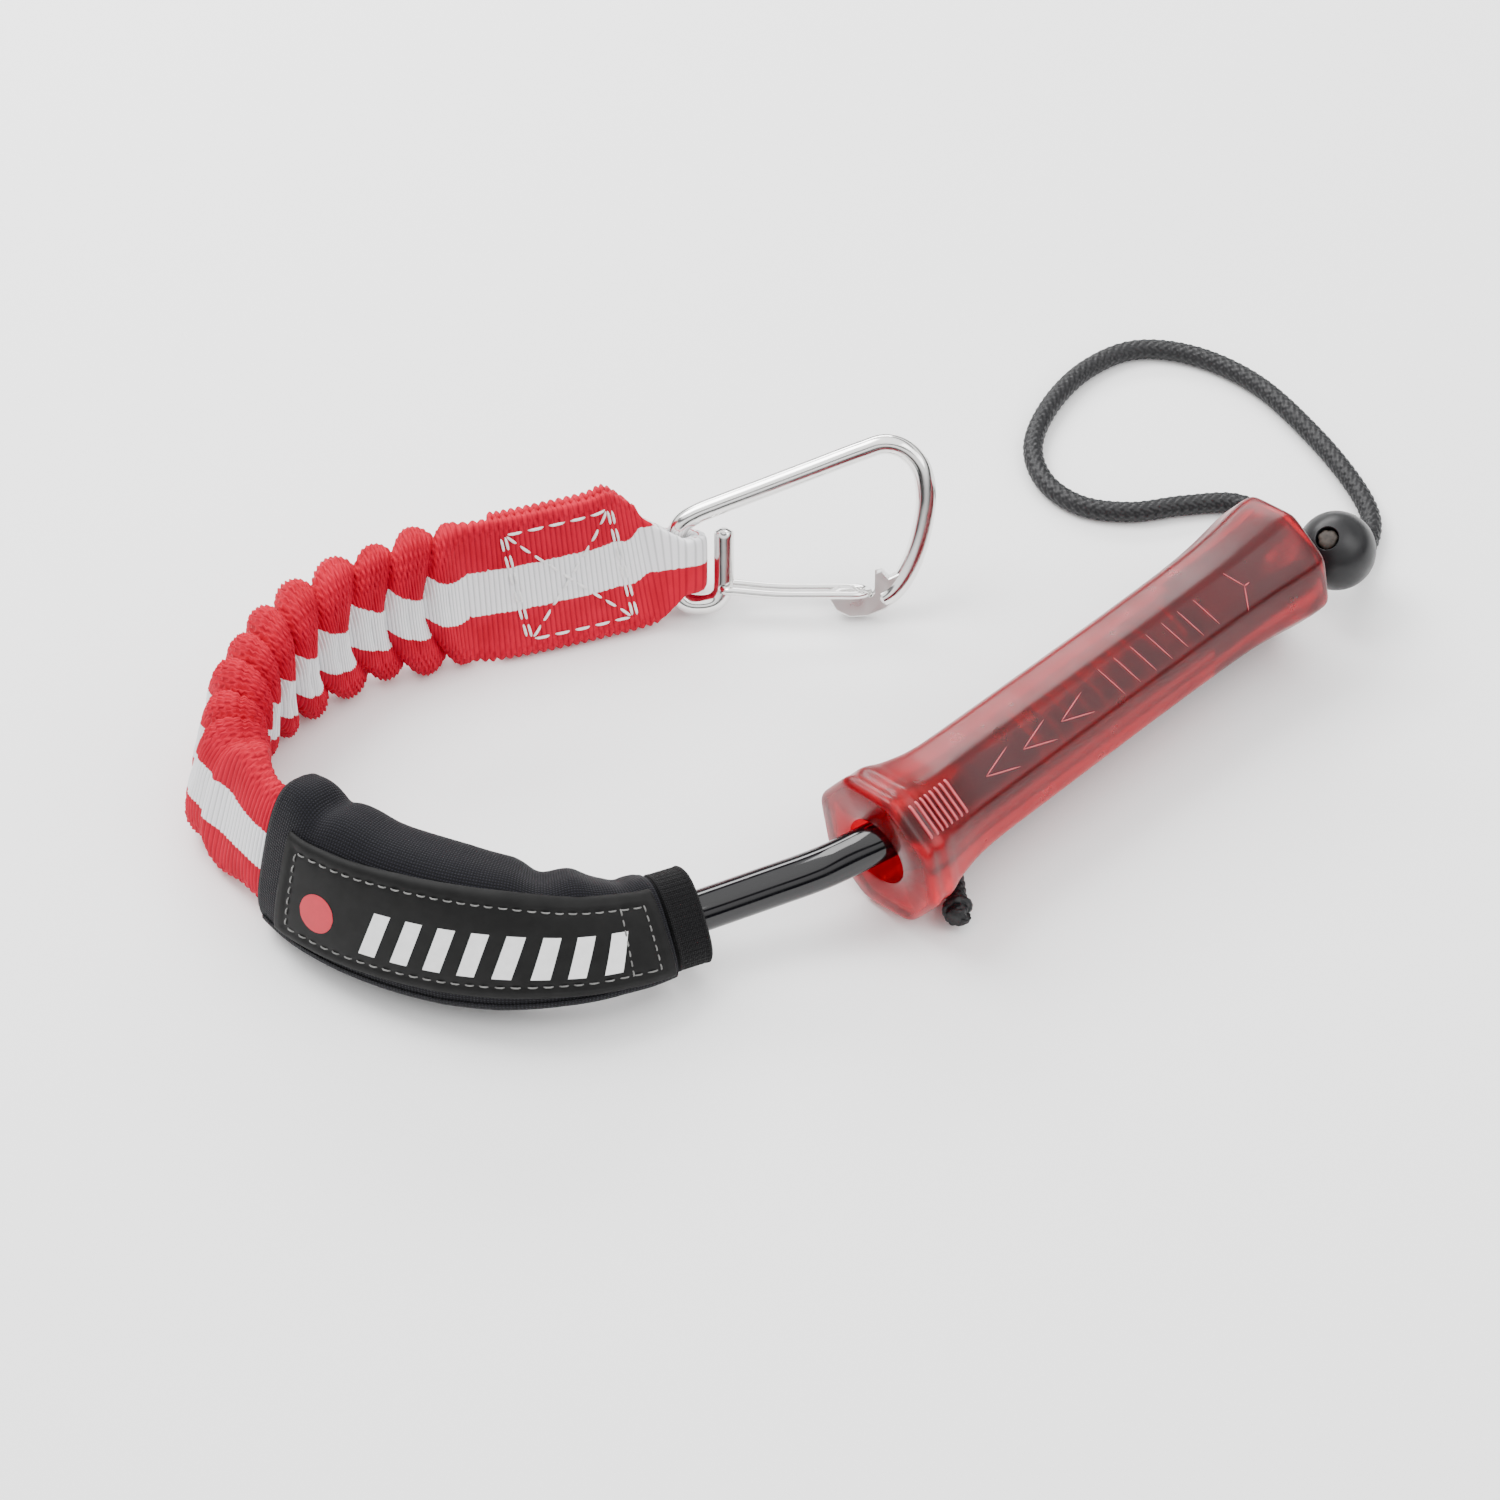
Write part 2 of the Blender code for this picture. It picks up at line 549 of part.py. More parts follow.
# The toggle cord, from its stopper knot at the near flare, under the grip, round the open loop to the ball.
CORD_ROUTE = [
    (47.9, -58.4, 5.2), (48.4, -54.4, 4.7), (48.0, -46.6, 3.4), (47.9, -39.0, 2.7), (54.0, -29.5, 2.7), (72.6, -9.8, 2.7),
    (96.0, 12.3, 2.7), (114.0, 29.5, 2.7), (125.5, 43.0, 2.7), (131.0, 55.5, 2.7), (132.4, 66.5, 2.7), (129.4, 76.5, 2.7),
    (121.5, 82.2, 2.7), (108.5, 81.4, 2.7), (95.5, 79.1, 2.7), (83.0, 81.4, 2.7), (74.3, 90.0, 2.7),
    (71.8, 103.0, 2.7), (76.8, 118.0, 2.7), (86.5, 131.2, 2.7), (99.5, 138.7, 2.7), (115.0, 136.3, 2.7),
    (130.2, 125.4, 2.7), (143.0, 107.0, 2.7), (151.8, 89.5, 2.7), (155.4, 76.5, 2.7), (153.2, 65.5, 3.2),
]


def build_cord(cord_black, ball_black, knot_black):
    inner_end = BALL_CENTRE - BALL_BORE_AXIS * (BALL_RADIUS - 1.6)
    route = [Vector(p) for p in CORD_ROUTE]
    route += [BALL_CENTRE + BALL_BORE_AXIS * along for along in (BALL_RADIUS + 2.6, 6.0, 0.0)] + [inner_end]
    points = catmull(route, 78)
    curve = bpy.data.curves.new("toggle_cord", "CURVE")
    curve.dimensions = "3D"
    curve.bevel_depth = CORD_RADIUS * MM
    curve.bevel_resolution = 2
    curve.use_fill_caps = True
    spline = curve.splines.new("POLY")
    spline.points.add(len(points) - 1)
    for knot, p in zip(spline.points, points):
        knot.co = (*((p + TO_ORIGIN) * MM), 1.0)
    curve.materials.append(cord_black)
    bpy.context.scene.collection.objects.link(bpy.data.objects.new("toggle_cord", curve))

    rings = []
    count = 16
    side = BALL_BORE_AXIS.cross(Vector((1, 0, 0))).normalized()
    other = BALL_BORE_AXIS.cross(side)
    for k in range(count + 1):
        angle = math.asin(3.0 / BALL_RADIUS) + (math.pi - 2 * math.asin(3.0 / BALL_RADIUS)) * k / count
        reach, along = BALL_RADIUS * math.sin(angle), BALL_RADIUS * math.cos(angle)
        rings.append(circle(BALL_CENTRE + BALL_BORE_AXIS * along, side, other, reach))
    for along in (-8.8, 8.8):
        rings.append(circle(BALL_CENTRE + BALL_BORE_AXIS * along, side, other, CORD_RADIUS + 0.4))
    add_mesh("ball_toggle", *stitched(rings, closed=True), ball_black)

    # The stopper knot: a thick turn of the cord round its own end.
    first, second = Vector(points[0]), Vector(points[1])
    axis = (second - first).normalized()
    u = axis.cross(Vector((0, 0, 1))).normalized()
    v = axis.cross(u)
    centre = first + axis * 3.8
    rings = []
    for k in range(14):
        a = 2 * math.pi * k / 14
        out = u * math.cos(a) + v * math.sin(a)
        thick = 0.6 + 0.05 * math.cos(3 * a)
        middle = centre + out * (CORD_RADIUS + GAP + thick)
        rings.append([middle + out * b * thick + axis * c * 2.4 for b, c in rounded(1.0, 1.0, 10)])
    add_mesh("stopper_knot", *stitched(rings, closed=True), knot_black)


def circle(centre, side, other, radius, count=24):
    return [
        centre + side * (radius * math.cos(2 * math.pi * k / count)) + other * (radius * math.sin(2 * math.pi * k / count))
        for k in range(count)
    ]


def main():
    clear_scene()
    build_hook(
        material("stainless_rod", (0.62, 0.62, 0.63), 0.22, 1.0), material("gate_stainless", (0.66, 0.66, 0.66), 0.2, 1.0)
    )
    strap, length = build_strap(material("red_webbing", (0.55, 0.012, 0.018), 0.85))
    build_wrap(
        material("black_neoprene", (0.012, 0.012, 0.013), 0.9),
        material("label_black", (0.008, 0.008, 0.008), 0.6),
        material("ribbed_elastic", (0.01, 0.01, 0.01), 0.8),
    )
    build_line(
        strap,
        length,
        material("bungee_sheath", (0.03, 0.03, 0.03), 0.8),
        material("crimp_steel", (0.4, 0.4, 0.4), 0.4, 1.0),
        material("load_line_fibre", (0.6, 0.6, 0.58), 0.7),
        material("black_pu", (0.01, 0.01, 0.01), 0.12),
        material("ferrule_black", (0.02, 0.02, 0.02), 0.4),
    )
    build_release(
        material("translucent_red", (0.35, 0.005, 0.01), 0.4, 0.0, 0.4),
        material("core_black", (0.02, 0.015, 0.015), 0.5),
        material("socket_red", (0.3, 0.01, 0.01), 0.45),
        material("small_steel", (0.6, 0.6, 0.6), 0.3, 1.0),
        material("spring_steel", (0.5, 0.5, 0.5), 0.3, 1.0),
    )
    build_cord(
        material("cord_black", (0.02, 0.02, 0.02), 0.8),
        material("ball_black", (0.012, 0.012, 0.013), 0.45),
        material("knot_black", (0.02, 0.02, 0.02), 0.8),
    )


main()
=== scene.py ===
"""The looks of a short board-sport safety leash: webbing, padded wrap, tube, release grip, hook and cord.

Sizes are in millimetres in the leash's own layout, z = 0 the table, and place() carries them to the row
frame in metres. Replacement pieces repeat the CAD solids' routes with a finer surface.
"""

import math
import random

import bmesh
import bpy
import numpy as np
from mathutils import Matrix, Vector


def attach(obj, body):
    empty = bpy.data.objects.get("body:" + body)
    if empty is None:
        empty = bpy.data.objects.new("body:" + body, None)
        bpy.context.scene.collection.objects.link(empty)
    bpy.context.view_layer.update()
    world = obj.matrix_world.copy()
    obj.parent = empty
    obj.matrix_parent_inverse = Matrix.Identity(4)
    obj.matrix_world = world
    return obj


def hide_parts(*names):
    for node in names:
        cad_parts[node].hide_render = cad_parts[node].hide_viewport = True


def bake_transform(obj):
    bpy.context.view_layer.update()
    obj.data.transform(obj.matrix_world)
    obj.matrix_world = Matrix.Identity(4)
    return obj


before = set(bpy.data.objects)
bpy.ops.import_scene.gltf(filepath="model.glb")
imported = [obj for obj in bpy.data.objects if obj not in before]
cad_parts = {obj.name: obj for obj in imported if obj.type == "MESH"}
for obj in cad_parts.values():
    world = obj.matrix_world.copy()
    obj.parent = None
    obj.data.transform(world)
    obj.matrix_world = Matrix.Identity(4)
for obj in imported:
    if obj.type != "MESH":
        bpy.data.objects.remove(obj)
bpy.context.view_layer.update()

MM = 0.001
TO_ORIGIN = Vector((-3.2, 11.0, 0.0))
random.seed(4)


def place(p):
    """A point of the layout, in the row frame's metres."""
    return (Vector(p) + TO_ORIGIN) * MM


# ---- camera, floor and light


def camera():
    """Looks down at 47 degrees on the table's middle, from the side with the padded wrap."""
    distance, elevation = 1300.0, math.radians(47.0)
    lens = bpy.data.cameras.new("camera")
    lens.sensor_width = 36.0
    lens.lens = 129.5
    lens.clip_start = 0.01
    eye = bpy.data.objects.new("camera", lens)
    eye.location = place((0, -distance * math.cos(elevation), distance * math.sin(elevation)))
    eye.rotation_euler = (math.pi / 2 - elevation, 0, 0)
    bpy.context.scene.collection.objects.link(eye)
    bpy.context.scene.camera = eye


def area_light(name, where, aim, size, power, stretch=1.0):
    lamp = bpy.data.lights.new(name, "AREA")
    lamp.shape = "RECTANGLE"
    lamp.size, lamp.size_y = size, size * stretch
    lamp.energy = power
    made = bpy.data.objects.new(name, lamp)
    made.location = where
    made.rotation_euler = (Vector(where) - Vector(aim)).to_track_quat("Z", "Y").to_euler()
    bpy.context.scene.collection.objects.link(made)


def studio():
    """A pale floor, soft lamps, and a sky whose dark bands give the steel something to reflect."""
    floor = bpy.data.meshes.new("floor")
    half = 3.0
    floor.from_pydata([(-half, -half, 0), (half, -half, 0), (half, half, 0), (-half, half, 0)], [], [(0, 1, 2, 3)])
    made = bpy.data.objects.new("floor", floor)
    bpy.context.scene.collection.objects.link(made)
    floor.materials.append(Finish("floor_pale", (0.97, 0.97, 0.97), 0.9, Specular_IOR_Level=0.1).made)
    world = bpy.data.worlds.new("studio")
    world.use_nodes = True
    tree = world.node_tree
    background = tree.nodes["Background"]
    sky = tree.nodes.new("ShaderNodeTexCoord")
    height = tree.nodes.new("ShaderNodeSeparateXYZ")
    tree.links.new(sky.outputs["Generated"], height.inputs[0])
    ramp = tree.nodes.new("ShaderNodeValToRGB")
    stops = [(0.0, 0.03), (0.20, 0.05), (0.34, 0.9), (0.58, 1.1), (0.63, 0.05), (0.71, 0.05), (0.77, 1.3), (1.0, 1.5)]
    set_stops(ramp.color_ramp, stops)
    tree.links.new(height.outputs["Z"], ramp.inputs["Fac"])
    tree.links.new(ramp.outputs["Color"], background.inputs["Color"])
    background.inputs["Strength"].default_value = 1.75
    bpy.context.scene.world = world
    area_light("key", (-0.55, 0.35, 0.95), (0, 0, 0), 0.6, 13.0)
    area_light("fill", (0.75, -0.25, 0.8), (0, 0, 0), 0.7, 5.5)
    area_light("strip", (-0.15, 0.75, 0.45), (0.03, 0, 0), 0.7, 5.0, 0.25)


# ---- shapes


def spline(points, step=None, count=None):
    """A smooth line through the points, evenly spaced: every step mm, or count points in all."""
    points = [np.array(p, float) for p in points]
    ends = [2 * points[0] - points[1], *points, 2 * points[-1] - points[-2]]
    dense = []
    for a, b, c, d in zip(ends, ends[1:], ends[2:], ends[3:]):
        for t in np.linspace(0, 1, 24, endpoint=False):
            dense.append(
                0.5 * (2 * b + (c - a) * t + (2 * a - 5 * b + 4 * c - d) * t * t + (3 * b - a - 3 * c + d) * t**3)
            )
    dense.append(points[-1])
    dense = np.array(dense)
    lengths = np.concatenate([[0], np.cumsum(np.linalg.norm(np.diff(dense, axis=0), axis=1))])
    count = count or max(2, int(round(lengths[-1] / step)) + 1)
    at = np.linspace(0, lengths[-1], count)
    return np.stack([np.interp(at, lengths, dense[:, k]) for k in range(3)], axis=1)


def unit(v):
    return v / np.linalg.norm(v)


def line_length(line):
    return float(np.linalg.norm(np.diff(line, axis=0), axis=1).sum())


def directions(line):
    t = np.gradient(line, axis=0)
    return t / np.linalg.norm(t, axis=1)[:, None]


def turning_frames(line, first=(0, 0, 1)):
    """Two directions across the line at each point that turn as little as possible along it."""
    t = directions(line)
    u = unit(np.array(first, float) - t[0] * np.dot(first, t[0]))
    us = []
    for k in range(len(line)):
        u = unit(u - t[k] * np.dot(u, t[k]))
        us.append(u)
    us = np.array(us)
    return us, np.cross(t, us)


def between(rows, k):
    """The rows' value at k, which may lie between two of them."""
    i = min(int(k), len(rows) - 2)
    return rows[i] * (1 - (k - i)) + rows[i + 1] * (k - i)


def leaning(along, degrees):
    """Upward and outward directions across a line that runs over the table, leaning back by degrees."""
    side = unit(np.array((along[1], -along[0], 0.0)))
    lean = math.radians(degrees)
    up = np.array((0, 0, math.cos(lean))) - side * math.sin(lean)
    return up, side * math.cos(lean) + np.array((0, 0, math.sin(lean)))


def round_angles(sides):
    return 2 * np.pi * np.arange(sides) / sides


def tube_rings(line, radii, sides, first=(0, 0, 1)):
    """Rings round a line. radii is one number, one column, or a value for each point of each ring."""
    us, vs = turning_frames(line, first)
    angles = round_angles(sides)
    radii = np.broadcast_to(np.asarray(radii, float), (len(line), sides))
    return (
        line[:, None]
        + us[:, None] * (radii * np.cos(angles))[..., None]
        + vs[:, None] * (radii * np.sin(angles))[..., None]
    )


def skin(m, n, closed=False, first=0):
    """Faces over m rings of n points each, numbered from first. An open skin has a cap at each end."""
    i, k = np.meshgrid(np.arange(m if closed else m - 1), np.arange(n), indexing="ij")
    j, l = (i + 1) % m, (k + 1) % n
    corners = np.stack([i * n + k, i * n + l, j * n + l, j * n + k], axis=-1)
    faces = (corners.reshape(-1, 4) + first).tolist()
    if not closed:
        last = first + (m - 1) * n
        faces += [list(range(first, first + n))[::-1], list(range(last, last + n))]
    return faces


def solid(name, rings, finish, closed=False, us=None, vs=None, sharp=None, body=None, replaces=()):
    """A piece skinned over rings of points. us and vs are the cloth's own coordinates in mm, for its weave."""
    rings = np.asarray(rings, float)
    m, n = rings.shape[:2]
    points = (rings.reshape(-1, 3) + np.array(TO_ORIGIN)) * MM
    mesh = bpy.data.meshes.new(name)
    mesh.from_pydata(points.tolist(), [], skin(m, n, closed))
    if us is not None:
        i, k = np.meshgrid(np.arange(m if closed else m - 1), np.arange(n), indexing="ij")
        j = (i + 1) % m
        flat = np.zeros((len(mesh.loops), 2))
        for axis, values in enumerate((us, vs)):
            values = np.broadcast_to(values, (m, n + 1))
            corners = np.stack([values[i, k], values[i, k + 1], values[j, k + 1], values[j, k]], axis=-1)
            flat[: corners.size, axis] = corners.reshape(-1)
        mesh.uv_layers.new(name="UVMap").data.foreach_set("uv", flat.reshape(-1))
    return piece(name, mesh, finish, sharp, body, replaces)


def piece(name, mesh, finish, sharp=None, body=None, replaces=()):
    mesh.materials.append(finish)
    mesh.polygons.foreach_set("use_smooth", [True] * len(mesh.polygons))
    if sharp:
        mesh.set_sharp_from_angle(angle=math.radians(sharp))
    made = bpy.data.objects.new(name, mesh)
    bpy.context.scene.collection.objects.link(made)
    if replaces:
        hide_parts(*replaces)
    if body:
        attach(made, body)
    return made


def blend(x, a, b):
    """0 before a, 1 after b, and smooth between."""
    t = np.clip((x - a) / (b - a), 0.0, 1.0)
    return t * t * (3 - 2 * t)


def bump_at(x, middle, width):
    return np.exp(-(((x - middle) / width) ** 2))


# ---- materials


def set_stops(ramp, stops):
    """stops are (position, colour or grey)."""
    while len(ramp.elements) < len(stops):
        ramp.elements.new(0.5)
    for element, (position, value) in zip(ramp.elements, stops):
        element.position = position
        element.color = (*value, 1) if hasattr(value, "__len__") else (value, value, value, 1)


class Finish:
    """A Principled material with short ways to add procedural detail."""

    def __init__(self, name, colour, rough, metal=0.0, **sockets):
        self.made = bpy.data.materials.new(name)
        self.made.use_nodes = True
        self.tree = self.made.node_tree
        self.shader = self.tree.nodes["Principled BSDF"]
        self.shader.inputs["Base Color"].default_value = (*colour, 1)
        self.shader.inputs["Roughness"].default_value = rough
        self.shader.inputs["Metallic"].default_value = metal
        for socket, value in sockets.items():
            self.shader.inputs[socket.replace("_", " ")].default_value = value
        self.colour = colour
        self.normal = None

    def node(self, kind, **values):
        made = self.tree.nodes.new("ShaderNode" + kind)
        for key, value in values.items():
            if key in made.inputs:
                made.inputs[key].default_value = value
            else:
                setattr(made, key, value)
        return made

    def link(self, source, target):
        self.tree.links.new(source, target)

    def coordinates(self, which):
        return self.node("TexCoord").outputs[which]

    def noise(self, scale, detail=4.0):
        made = self.node("TexNoise", Scale=scale, Detail=detail)
        self.link(self.coordinates("Object"), made.inputs["Vector"])
        return made.outputs["Fac"]

    def maths(self, operation, *values):
        """A maths node on plain numbers and other nodes' outputs."""
        made = self.node("Math", operation=operation)
        for value, socket in zip(values, made.inputs):
            if isinstance(value, float):
                socket.default_value = value
            else:
                self.link(value, socket)
        return made.outputs[0]

    def bump(self, source, strength, distance):
        made = self.node("Bump", Strength=strength, Distance=distance)
        self.link(source, made.inputs["Height"])
        if self.normal:
            self.link(self.normal, made.inputs["Normal"])
        self.normal = made.outputs["Normal"]
        self.link(self.normal, self.shader.inputs["Normal"])
        return self

    def grain(self, scale, detail, strength, distance=0.0001):
        return self.bump(self.noise(scale, detail), strength, distance)

    def ramp(self, source, stops):
        made = self.node("ValToRGB")
        set_stops(made.color_ramp, stops)
        self.link(source, made.inputs["Fac"])
        return made.outputs["Color"]

    def varied(self, scale, low, high):
        """Varies the base colour between low and high times itself."""
        stops = [(0.3, tuple(c * low for c in self.colour)), (0.7, tuple(c * high for c in self.colour))]
        self.link(self.ramp(self.noise(scale), stops), self.shader.inputs["Base Color"])
        return self

    def worn(self, scale, low, high):
        """Varies the roughness between low and high."""
        self.link(self.ramp(self.noise(scale, 3.0), [(0.3, low), (0.7, high)]), self.shader.inputs["Roughness"])
        return self


def webbing_finish():
    """Red polyester with a white stripe down the middle of each side, taken from the cloth's width, and painted shade
    in the grooves between its ribs.
    """
    made = Finish("webbing_red_white", (0.5, 0.002, 0.025), 0.7, Specular_IOR_Level=0.12)
    cloth = made.node("SeparateXYZ")
    made.link(made.coordinates("UV"), cloth.inputs[0])
    from_edge = made.maths("PINGPONG", cloth.outputs["X"], CLOTH_WIDTH / 2)
    stripe = made.node("MapRange")
    stripe.inputs["From Min"].default_value = STRIPE_FROM - 0.1
    stripe.inputs["From Max"].default_value = STRIPE_FROM + 0.1
    made.link(made.maths("MULTIPLY_ADD", made.noise(900.0, 2.0), 0.9, from_edge), stripe.inputs["Value"])
    mix = made.node("Mix", data_type="RGBA")
    made.link(stripe.outputs[0], mix.inputs["Factor"])
    red = made.ramp(made.noise(140.0, 2.0), [(0.3, (0.44, 0.001, 0.020)), (0.7, (0.53, 0.002, 0.028))])
    made.link(red, mix.inputs["A"])
    mix.inputs["B"].default_value = (0.80, 0.80, 0.82, 1)
    # Painted shade: the base colour is darkened in the grooves between the cloth's ribs, where shade would fall.
    painted_groove_shade = made.ramp(made.maths("PINGPONG", cloth.outputs["Y"], RIB / 2), [(0.0, 0.62), (0.28, 1.0)])
    shaded = made.node("Mix", data_type="RGBA", blend_type="MULTIPLY")
    shaded.inputs["Factor"].default_value = 1.0
    made.link(mix.outputs["Result"], shaded.inputs["A"])
    made.link(painted_groove_shade, shaded.inputs["B"])
    made.link(shaded.outputs["Result"], made.shader.inputs["Base Color"])
    return made.grain(2600.0, 2.0, 0.35).made


def knit_finish(name, colour, scale, sheen):
    """A fine knit, as rows crossed by columns over the cloth's own coordinates, with painted shade in the stitches'
    hollows and painted light on their crests.
    """
    made = Finish(name, colour, 0.82, Sheen_Weight=sheen, Sheen_Roughness=0.4, Specular_IOR_Level=0.2)
    waves = []
    for bands in ("X", "Y"):
        wave = made.node("TexWave", bands_direction=bands, Scale=scale, Distortion=0.8, Detail=1.0)
        made.link(made.coordinates("UV"), wave.inputs["Vector"])
        waves.append(wave.outputs["Fac"])
    stitch = made.maths("MULTIPLY", *waves)
    # Painted shade and painted light: the base colour follows the stitch heights that also drive the bump, darker in
    # the hollows and paler on the crests.
    dark, pale = tuple(c * 0.45 for c in colour), tuple(c * 2.4 for c in colour)
    made.link(made.ramp(stitch, [(0.1, dark), (0.8, pale)]), made.shader.inputs["Base Color"])
    return made.bump(stitch, 0.7, 0.0003).grain(1800.0, 3.0, 0.3).made


# Each one's colour and roughness, and the scale and range of the change in its colour.
DYED = {
    "thread_white": ((0.82, 0.82, 0.82), 0.6, 900.0, 0.85, 1.05),
    "thread_grey": ((0.16, 0.16, 0.155), 0.7, 900.0, 0.7, 1.3),
    "label_print_white": ((0.84, 0.84, 0.84), 0.5, 500.0, 0.93, 1.02),
    "label_print_red": ((0.50, 0.002, 0.02), 0.5, 500.0, 0.93, 1.02),
    "grip_mark_pale": ((0.50, 0.07, 0.09), 0.5, 400.0, 0.95, 1.05),
    "cord_end_fused": ((0.030, 0.022, 0.016), 0.65, 900.0, 0.5, 1.4),
    "line_grey": ((0.42, 0.42, 0.40), 0.7, 900.0, 0.8, 1.1),
    "bungee_black": ((0.03, 0.03, 0.03), 0.7, 900.0, 0.8, 1.2),
}
# Each one's colour, roughness and metallic value, and the scale and range of the change in its roughness.
WORN = {
    "core_dark": ((0.006, 0.002, 0.003), 0.5, 0.0, 300.0, 0.4, 0.55),
    "pin_steel": ((0.62, 0.62, 0.63), 0.3, 1.0, 300.0, 0.25, 0.4),
    "crimp_aluminium": ((0.6, 0.61, 0.63), 0.35, 1.0, 300.0, 0.3, 0.45),
}


def finishes():
    made = {"webbing": webbing_finish()}
    for name, (colour, rough, *change) in DYED.items():
        made[name] = Finish(name, colour, rough).varied(*change).made
    for name, (colour, rough, metal, *change) in WORN.items():
        made[name] = Finish(name, colour, rough, metal).worn(*change).made
    made["neoprene"] = knit_finish("neoprene_black", (0.0045, 0.0045, 0.007), 0.45, 0.05)
    made["elastic"] = knit_finish("elastic_black", (0.0035, 0.0035, 0.004), 0.6, 0.04)
    label = Finish("label_black", (0.004, 0.004, 0.004), 0.6, Specular_IOR_Level=0.2)
    made["label"] = label.varied(300.0, 0.7, 1.4).made
    tube = Finish("tube_black_pu", (0.002, 0.002, 0.003), 0.07, Specular_IOR_Level=0.5)
    made["tube"] = tube.worn(240.0, 0.05, 0.14).grain(90.0, 2.0, 0.03, 0.0002).made
    for name, low, high in (("grip", 0.27, 0.34), ("grip_bore", 0.12, 0.18)):
        red = Finish(f"{name}_red_translucent", (0.38, 0.0, 0.008), low, Transmission_Weight=0.94, IOR=1.36,
                     Specular_IOR_Level=0.2)
        made[name] = red.worn(160.0, low, high).grain(500.0, 3.0, 0.02).made
    made["bush"] = Finish("bush_red", (0.35, 0.01, 0.02), 0.4, Transmission_Weight=0.4).worn(300.0, 0.35, 0.5).made
    steel = Finish("stainless_polished", (0.78, 0.77, 0.76), 0.13, 1.0)
    made["steel"] = steel.worn(190.0, 0.09, 0.20).grain(420.0, 3.0, 0.03).made
    satin = Finish("stainless_satin", (0.70, 0.69, 0.68), 0.32, 1.0)
    made["steel_satin"] = satin.worn(260.0, 0.26, 0.42).grain(900.0, 3.0, 0.08).made
    ball = Finish("ball_black", (0.006, 0.006, 0.007), 0.40, Specular_IOR_Level=0.35)
    made["ball"] = ball.worn(220.0, 0.32, 0.45).grain(700.0, 4.0, 0.05).made
    cord = Finish("cord_black", (0.006, 0.006, 0.007), 0.45, Specular_IOR_Level=0.35)
    made["cord"] = cord.varied(1400.0, 0.5, 1.7).grain(3200.0, 2.0, 0.4).made
    return made


# ---- cord, knot and ball

CORD_ROUTE = [
    (47.9, -58.4, 5.2), (48.4, -54.4, 4.7), (48.0, -46.6, 3.4), (47.9, -39.0, 2.7), (54.0, -29.5, 2.7),
    (72.6, -9.8, 2.7), (96.0, 12.3, 2.7), (114.0, 29.5, 2.7), (125.5, 43.0, 2.7), (131.0, 55.5, 2.7),
    (132.4, 66.5, 2.7), (129.4, 76.5, 2.7), (121.5, 82.2, 2.7), (108.5, 81.4, 2.7), (95.5, 79.1, 2.7),
    (83.0, 81.4, 2.7), (74.3, 90.0, 2.7), (71.8, 103.0, 2.7), (76.8, 118.0, 2.7), (86.5, 131.2, 2.7),
    (99.5, 138.7, 2.7), (115.0, 136.3, 2.7), (130.2, 125.4, 2.7), (143.0, 107.0, 2.7), (151.8, 89.5, 2.7),
    (155.4, 76.5, 2.7), (153.2, 65.5, 3.2),
]
CORD_RADIUS = 2.5
KNOT_TURNS = 1.25
BALL_RADIUS = 9.8
BALL_MOUTH = 3.1
BALL_CENTRE = np.array((143.7, 51.2, 16.8))
BALL_BORE = unit(np.array((0.34, 0.40, -0.85)))


def braid(line_count, sides, step, radius, strands=8, pitch=2.3, depth=0.34):
    """Radii of a braided cord: two sets of strands that cross over and under each other, step mm a ring."""
    along = np.arange(line_count)[:, None] * step / pitch
    round_ = np.arange(sides)[None] * strands / sides
    one, two = round_ + along, round_ - along
    over = (np.floor(one) + np.floor(two)) % 2 == 0
    part = np.where(over, one % 1, two % 1)
    other = np.where(over, two % 1, one % 1)
    height = np.sin(np.pi * part) ** 0.6 * (0.65 + 0.35 * np.sin(np.pi * other))
    return radius - depth + (depth + 0.12) * height


def build_cord(finish):
    """The cord with its stopper knot. Gives the cord, its path and its length."""
    route = [np.array(p) for p in CORD_ROUTE]
    route += [BALL_CENTRE + BALL_BORE * along for along in (BALL_RADIUS + 2.6, 6.0, 0.0, 1.6 - BALL_RADIUS)]
    step = 0.28
    line = spline(route, step)
    step = line_length(line) / (len(line) - 1)
    cord = solid("toggle_cord_braid", tube_rings(line, braid(len(line), 48, step, CORD_RADIUS), 48), finish["cord"],
                 body="tether", replaces=["toggle_cord"])
    path = [place(p) for p in line[::12]] + [place(line[-1])]
    length = line_length(line) * MM

    # The stopper: the cord's own end taken round it, and the fused tip standing out of the turns.
    axis = directions(line)[0]
    u = unit(np.cross(axis, (0, 0, 1.0)))
    v = np.cross(axis, u)
    turns = []
    for k in range(21):
        a = 2 * math.pi * KNOT_TURNS * k / 20
        turns.append(line[0] + axis * (1.0 + 4.6 * k / 20) + (u * math.cos(a) + v * math.sin(a)) * 2.2)
    wound = spline(turns, 0.3)
    solid("stopper_knot_turns", tube_rings(wound, braid(len(wound), 32, 0.3, 1.3, 6, 1.8, 0.22), 32), finish["cord"],
          body="tether", replaces=["stopper_knot"])
    return cord, path, length


